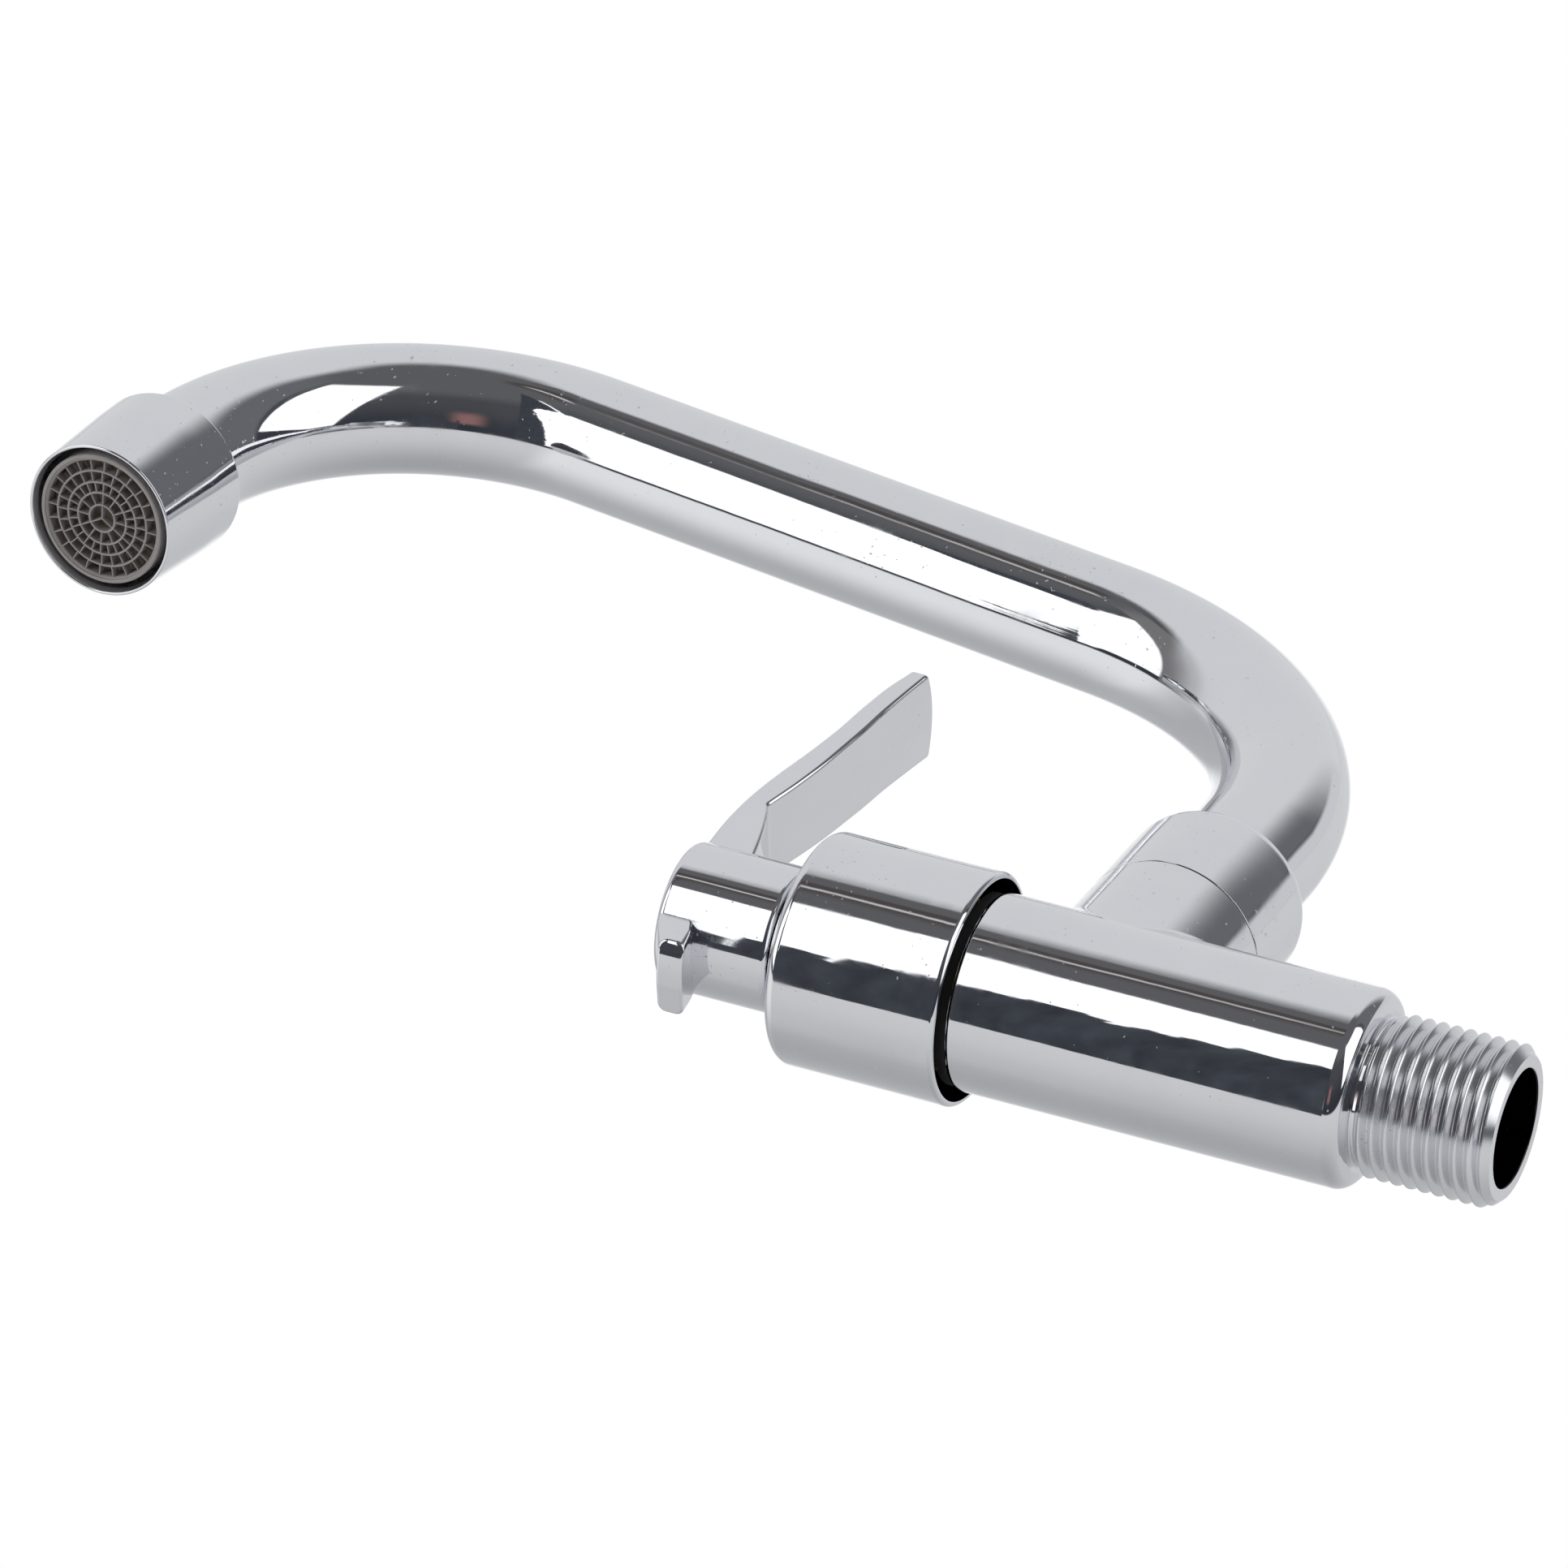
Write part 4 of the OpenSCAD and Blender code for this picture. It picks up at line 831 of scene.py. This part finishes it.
def torn(line, step, tear, seed):
    """Points along a line of corners, each moved both ways by noise, and by its neighbours' noise."""
    line = np.array(line, float)
    runs = []
    for a, b in zip(line[:-1], line[1:]):
        count = max(int(np.hypot(*(b - a)) / step), 1)
        runs.append(a + (b - a) * np.linspace(0, 1, count, endpoint=False)[:, None])
    points = np.concatenate(runs + [line[-1:]])
    noise = np.random.default_rng(seed).uniform(-0.5, 0.5, points.shape)
    return points + tear * (0.9 * noise + 0.4 * np.roll(noise, 1, 0) + 0.3 * np.roll(noise, 2, 0))


def flag(name, edge, base):
    """A strip between a torn edge and a straight base, both as 3-D points in millimetres."""
    points = np.concatenate([edge, base]) * MM
    k = len(edge)
    faces = [(i, i + 1, k + i + 1, k + i) for i in range(k - 1)]
    mesh = bpy.data.meshes.new(name)
    mesh.from_pydata(points.tolist(), [], faces)
    mesh.materials.append(flag_paint)
    piece = bpy.data.objects.new(name, mesh)
    bpy.context.scene.collection.objects.link(piece)
    piece.visible_camera = piece.visible_diffuse = piece.visible_shadow = False


# pairs of (y, x) in one plane square to z. A straight base closes the flag below the edge
FLAG_Z, FLAG_BASE = -90, -12
LOW_EDGE = [(-132, 44), (-126, 34), (-121, 24), (-118, 12), (-110, 6), (-107.5, 24), (-106, 39), (-93, 37),
            (-91, 49), (-79, 51), (-77, 55), (-53, 58), (-49, 67), (-38, 74), (-29, 80)]
low = torn(LOW_EDGE, 0.9, 11.0, 4)
none = np.zeros(len(low))
flag("low_flag", np.stack([low[:, 1], low[:, 0], none + FLAG_Z], -1),
     np.stack([none + FLAG_BASE, low[:, 0], none + FLAG_Z], -1))

# by bearing and height as the second bend sees them, 0.7 m from it. On the far side the share of
# -y in each direction is constant. The barrel, cover and hub reflect directions with one such
# share too, and from where they stand the flag is further aside, so it stays out of their white
FAR_SHARE, FAR_ROWS = 0.245, 20
BEND_AT = np.array([8.0, -163.0, 105.0])
BEND_EDGE = [(-59.0, -6), (-60.5, 18), (-61.5, 40), (-61, 46), (-57, 49.5), (-48, 49.5), (-42, 49.5)]
side = torn(BEND_EDGE, 0.5, 1.4, 8)
rising = np.concatenate([np.linspace(-6, 52, len(side) - FAR_ROWS), np.linspace(53, 68, FAR_ROWS)])
away = np.stack([-np.degrees(np.arccos(FAR_SHARE / np.cos(np.radians(rising)))), rising], -1)


def seen_from_bend(angles, reach=700.0):
    """Points at one distance from the bend, in the directions of (bearing, height)."""
    b, h = np.radians(angles).T
    way = np.stack([np.sin(h), -np.cos(h) * np.cos(b), np.cos(h) * np.sin(b)], -1)
    return BEND_AT + reach * way


flag("bend_flag", seen_from_bend(side), seen_from_bend(away))

# %% The room, by direction
world = bpy.data.worlds.new("studio")
bpy.context.scene.world = world
world.use_nodes = True
tree = world.node_tree
tree.nodes.clear()
heading = add_node(tree, "ShaderNodeTexCoord").outputs["Generated"]
axes = add_node(tree, "ShaderNodeSeparateXYZ", {0: heading})


def maths(operation, *values):
    """One Math node in the world's tree, and its result."""
    return add_node(tree, "ShaderNodeMath", dict(enumerate(values)), operation=operation).outputs[0]


height = maths("DEGREES", maths("ARCSINE", axes.outputs["X"]))
bearing = maths("DEGREES", maths("ARCTAN2", axes.outputs["Z"], maths("MULTIPLY", axes.outputs["Y"], -1.0)))


def rise(value, start, end):
    """0 below start and 1 above end, smooth between. With start above end it falls instead."""
    low, high, first, last = (start, end, 0.0, 1.0) if start < end else (end, start, 1.0, 0.0)
    return add_node(tree, "ShaderNodeMapRange", {"Value": value, "From Min": low, "From Max": high,
                                                 "To Min": first, "To Max": last},
                    interpolation_type="SMOOTHSTEP").outputs[0]


def zone(left, right, low, high):
    """Product of four steps. Each limit is a pair: where the step starts, and where it is full."""
    steps = [rise(bearing, *left), rise(bearing, *right), rise(height, *low), rise(height, *high)]
    return maths("MULTIPLY", maths("MULTIPLY", steps[0], steps[1]), maths("MULTIPLY", steps[2], steps[3]))


def over(under, mask, colour):
    """Lays a colour over another by a mask."""
    mix = add_node(tree, "ShaderNodeMix", {"Factor": mask, "A": under, "B": colour}, data_type="RGBA")
    return mix.outputs["Result"]


def along(mask, low, high):
    """Carries a value from low to high by a mask: low + (high - low) * mask."""
    return maths("ADD", maths("MULTIPLY", mask, high - low), low)


EDGE = 0.7  # half of the soft boxes' edges, in degrees
BOX_WHITE = (1.45, 1.45, 1.45, 1)
# the dark room, a little lighter above, and its ceiling
room = over((0.036, 0.041, 0.052, 1), rise(height, -5.0, 40.0), (0.075, 0.078, 0.086, 1))
room = over(room, rise(height, 44.0, 60.0), (0.13, 0.13, 0.135, 1))
# something reddish far behind, and a brownish one above the front with a light streak beside it
room = over(room, zone((-112.0, -102.0), (-88.0, -98.0), (2.0, 8.0), (28.0, 18.0)), (0.30, 0.16, 0.15, 1))
room = over(room, zone((-30.0, -12.0), (10.0, 4.0), (60.0, 64.0), (80.0, 75.0)), (0.085, 0.072, 0.066, 1))
room = over(room, zone((-13.0, -11.0), (-5.0, -8.0), (60.0, 64.0), (76.0, 71.0)), (0.62, 0.63, 0.65, 1))
# the grey gap between the front box and the backdrop, and the wall on the backdrop's right
room = over(room, zone((-15.0, -13.0), (6.0, 2.0), (-8.0, -5.0), (60.0, 50.0)), (0.21, 0.205, 0.205, 1))
room = over(room, zone((88.0, 100.0), (150.0, 146.0), (1.0, 8.0), (70.0, 60.0)), (0.155, 0.16, 0.172, 1))

# the backdrop's top edge slants up to the right, and its foot runs on under the wall
slant = maths("MINIMUM", 67.0, maths("ADD", bearing, 37.0))
backdrop = maths("MULTIPLY", zone((-14.0, 15.0), (121.0, 97.0), (-9.0, -7.0), (90.0, 80.0)),
                 rise(maths("SUBTRACT", height, slant), 6.0, -6.0))
room = over(room, backdrop, (0.75, 0.755, 0.77, 1))
room = over(room, zone((100.0, 104.0), (178.0, 130.0), (-9.0, -7.0), (6.0, 1.0)), (0.70, 0.70, 0.72, 1))

# front soft box, whose top edge steps up and whose foot steps down on the left
top = along(rise(bearing, -39.0, -45.0), 47.5, 61.0)
box_foot = along(rise(bearing, -41.0, -47.0), -2.0, -4.2)
sides = maths("MULTIPLY", rise(axes.outputs["Y"], -0.265, -0.28), rise(bearing, -13.5, -15.5))
box = maths("MULTIPLY", sides, maths("MULTIPLY", rise(maths("SUBTRACT", height, box_foot), -EDGE, EDGE),
                                     rise(maths("SUBTRACT", top, height), -EDGE, EDGE)))
room = over(room, box, BOX_WHITE)

# rear soft box, across the seam of the bearing at 180 degrees. Both sides and the foot slant
right = rise(bearing, -1.0, 1.0)
slope_left = maths("SUBTRACT", 168.0, maths("MULTIPLY", height, 0.4))
slope_right = maths("ADD", 147.0, maths("MULTIPLY", height, 0.17))
side_limit = maths("ADD", slope_left, maths("MULTIPLY", right, maths("SUBTRACT", slope_right, slope_left)))
round_back = maths("SUBTRACT", maths("ABSOLUTE", bearing), side_limit)
past_seam = maths("MULTIPLY", maths("SUBTRACT", 180.0, bearing), 0.4)
back_foot = maths("ADD", 3.0, maths("MULTIPLY", right, past_seam))
above_foot = rise(maths("SUBTRACT", height, back_foot), -EDGE, EDGE)
box = maths("MULTIPLY", rise(round_back, -EDGE, EDGE),
            maths("MULTIPLY", above_foot, rise(height, 64.0, 61.0)))
room = over(room, box, BOX_WHITE)

# the table, darker straight below, brightest under the front box and greyer under the backdrop
table = over((0.44, 0.445, 0.455, 1), rise(height, -85.0, -12.0), (0.72, 0.725, 0.735, 1))
table = over(table, zone((-66.0, -50.0), (2.0, -20.0), (-62.0, -18.0), (0.0, -3.0)), (0.93, 0.93, 0.935, 1))
table = over(table, zone((-20.0, 20.0), (60.0, 46.0), (-72.0, -40.0), (0.0, -14.0)), (0.50, 0.505, 0.52, 1))
room = over(table, rise(height, -8.5, -6.5), room)

# the white behind the tap is seen by the camera, and by the plate where it lies
ray = add_node(tree, "ShaderNodeLightPath")
behind = zone((50.0, 66.0), (92.0, 74.0), (-50.0, -30.0), (-8.0, -14.0))
mirrored = maths("MAXIMUM", ray.outputs["Is Glossy Ray"], ray.outputs["Is Transmission Ray"])
white_seen = maths("MAXIMUM", ray.outputs["Is Camera Ray"], maths("MULTIPLY", mirrored, behind))
studio = add_node(tree, "ShaderNodeBackground", {"Color": room, "Strength": 1.0})
white = add_node(tree, "ShaderNodeBackground", {"Color": (1, 1, 1, 1), "Strength": 1.0})
both = add_node(tree, "ShaderNodeMixShader", {0: white_seen, 1: studio.outputs[0], 2: white.outputs[0]})
add_node(tree, "ShaderNodeOutputWorld", {"Surface": both.outputs[0]})
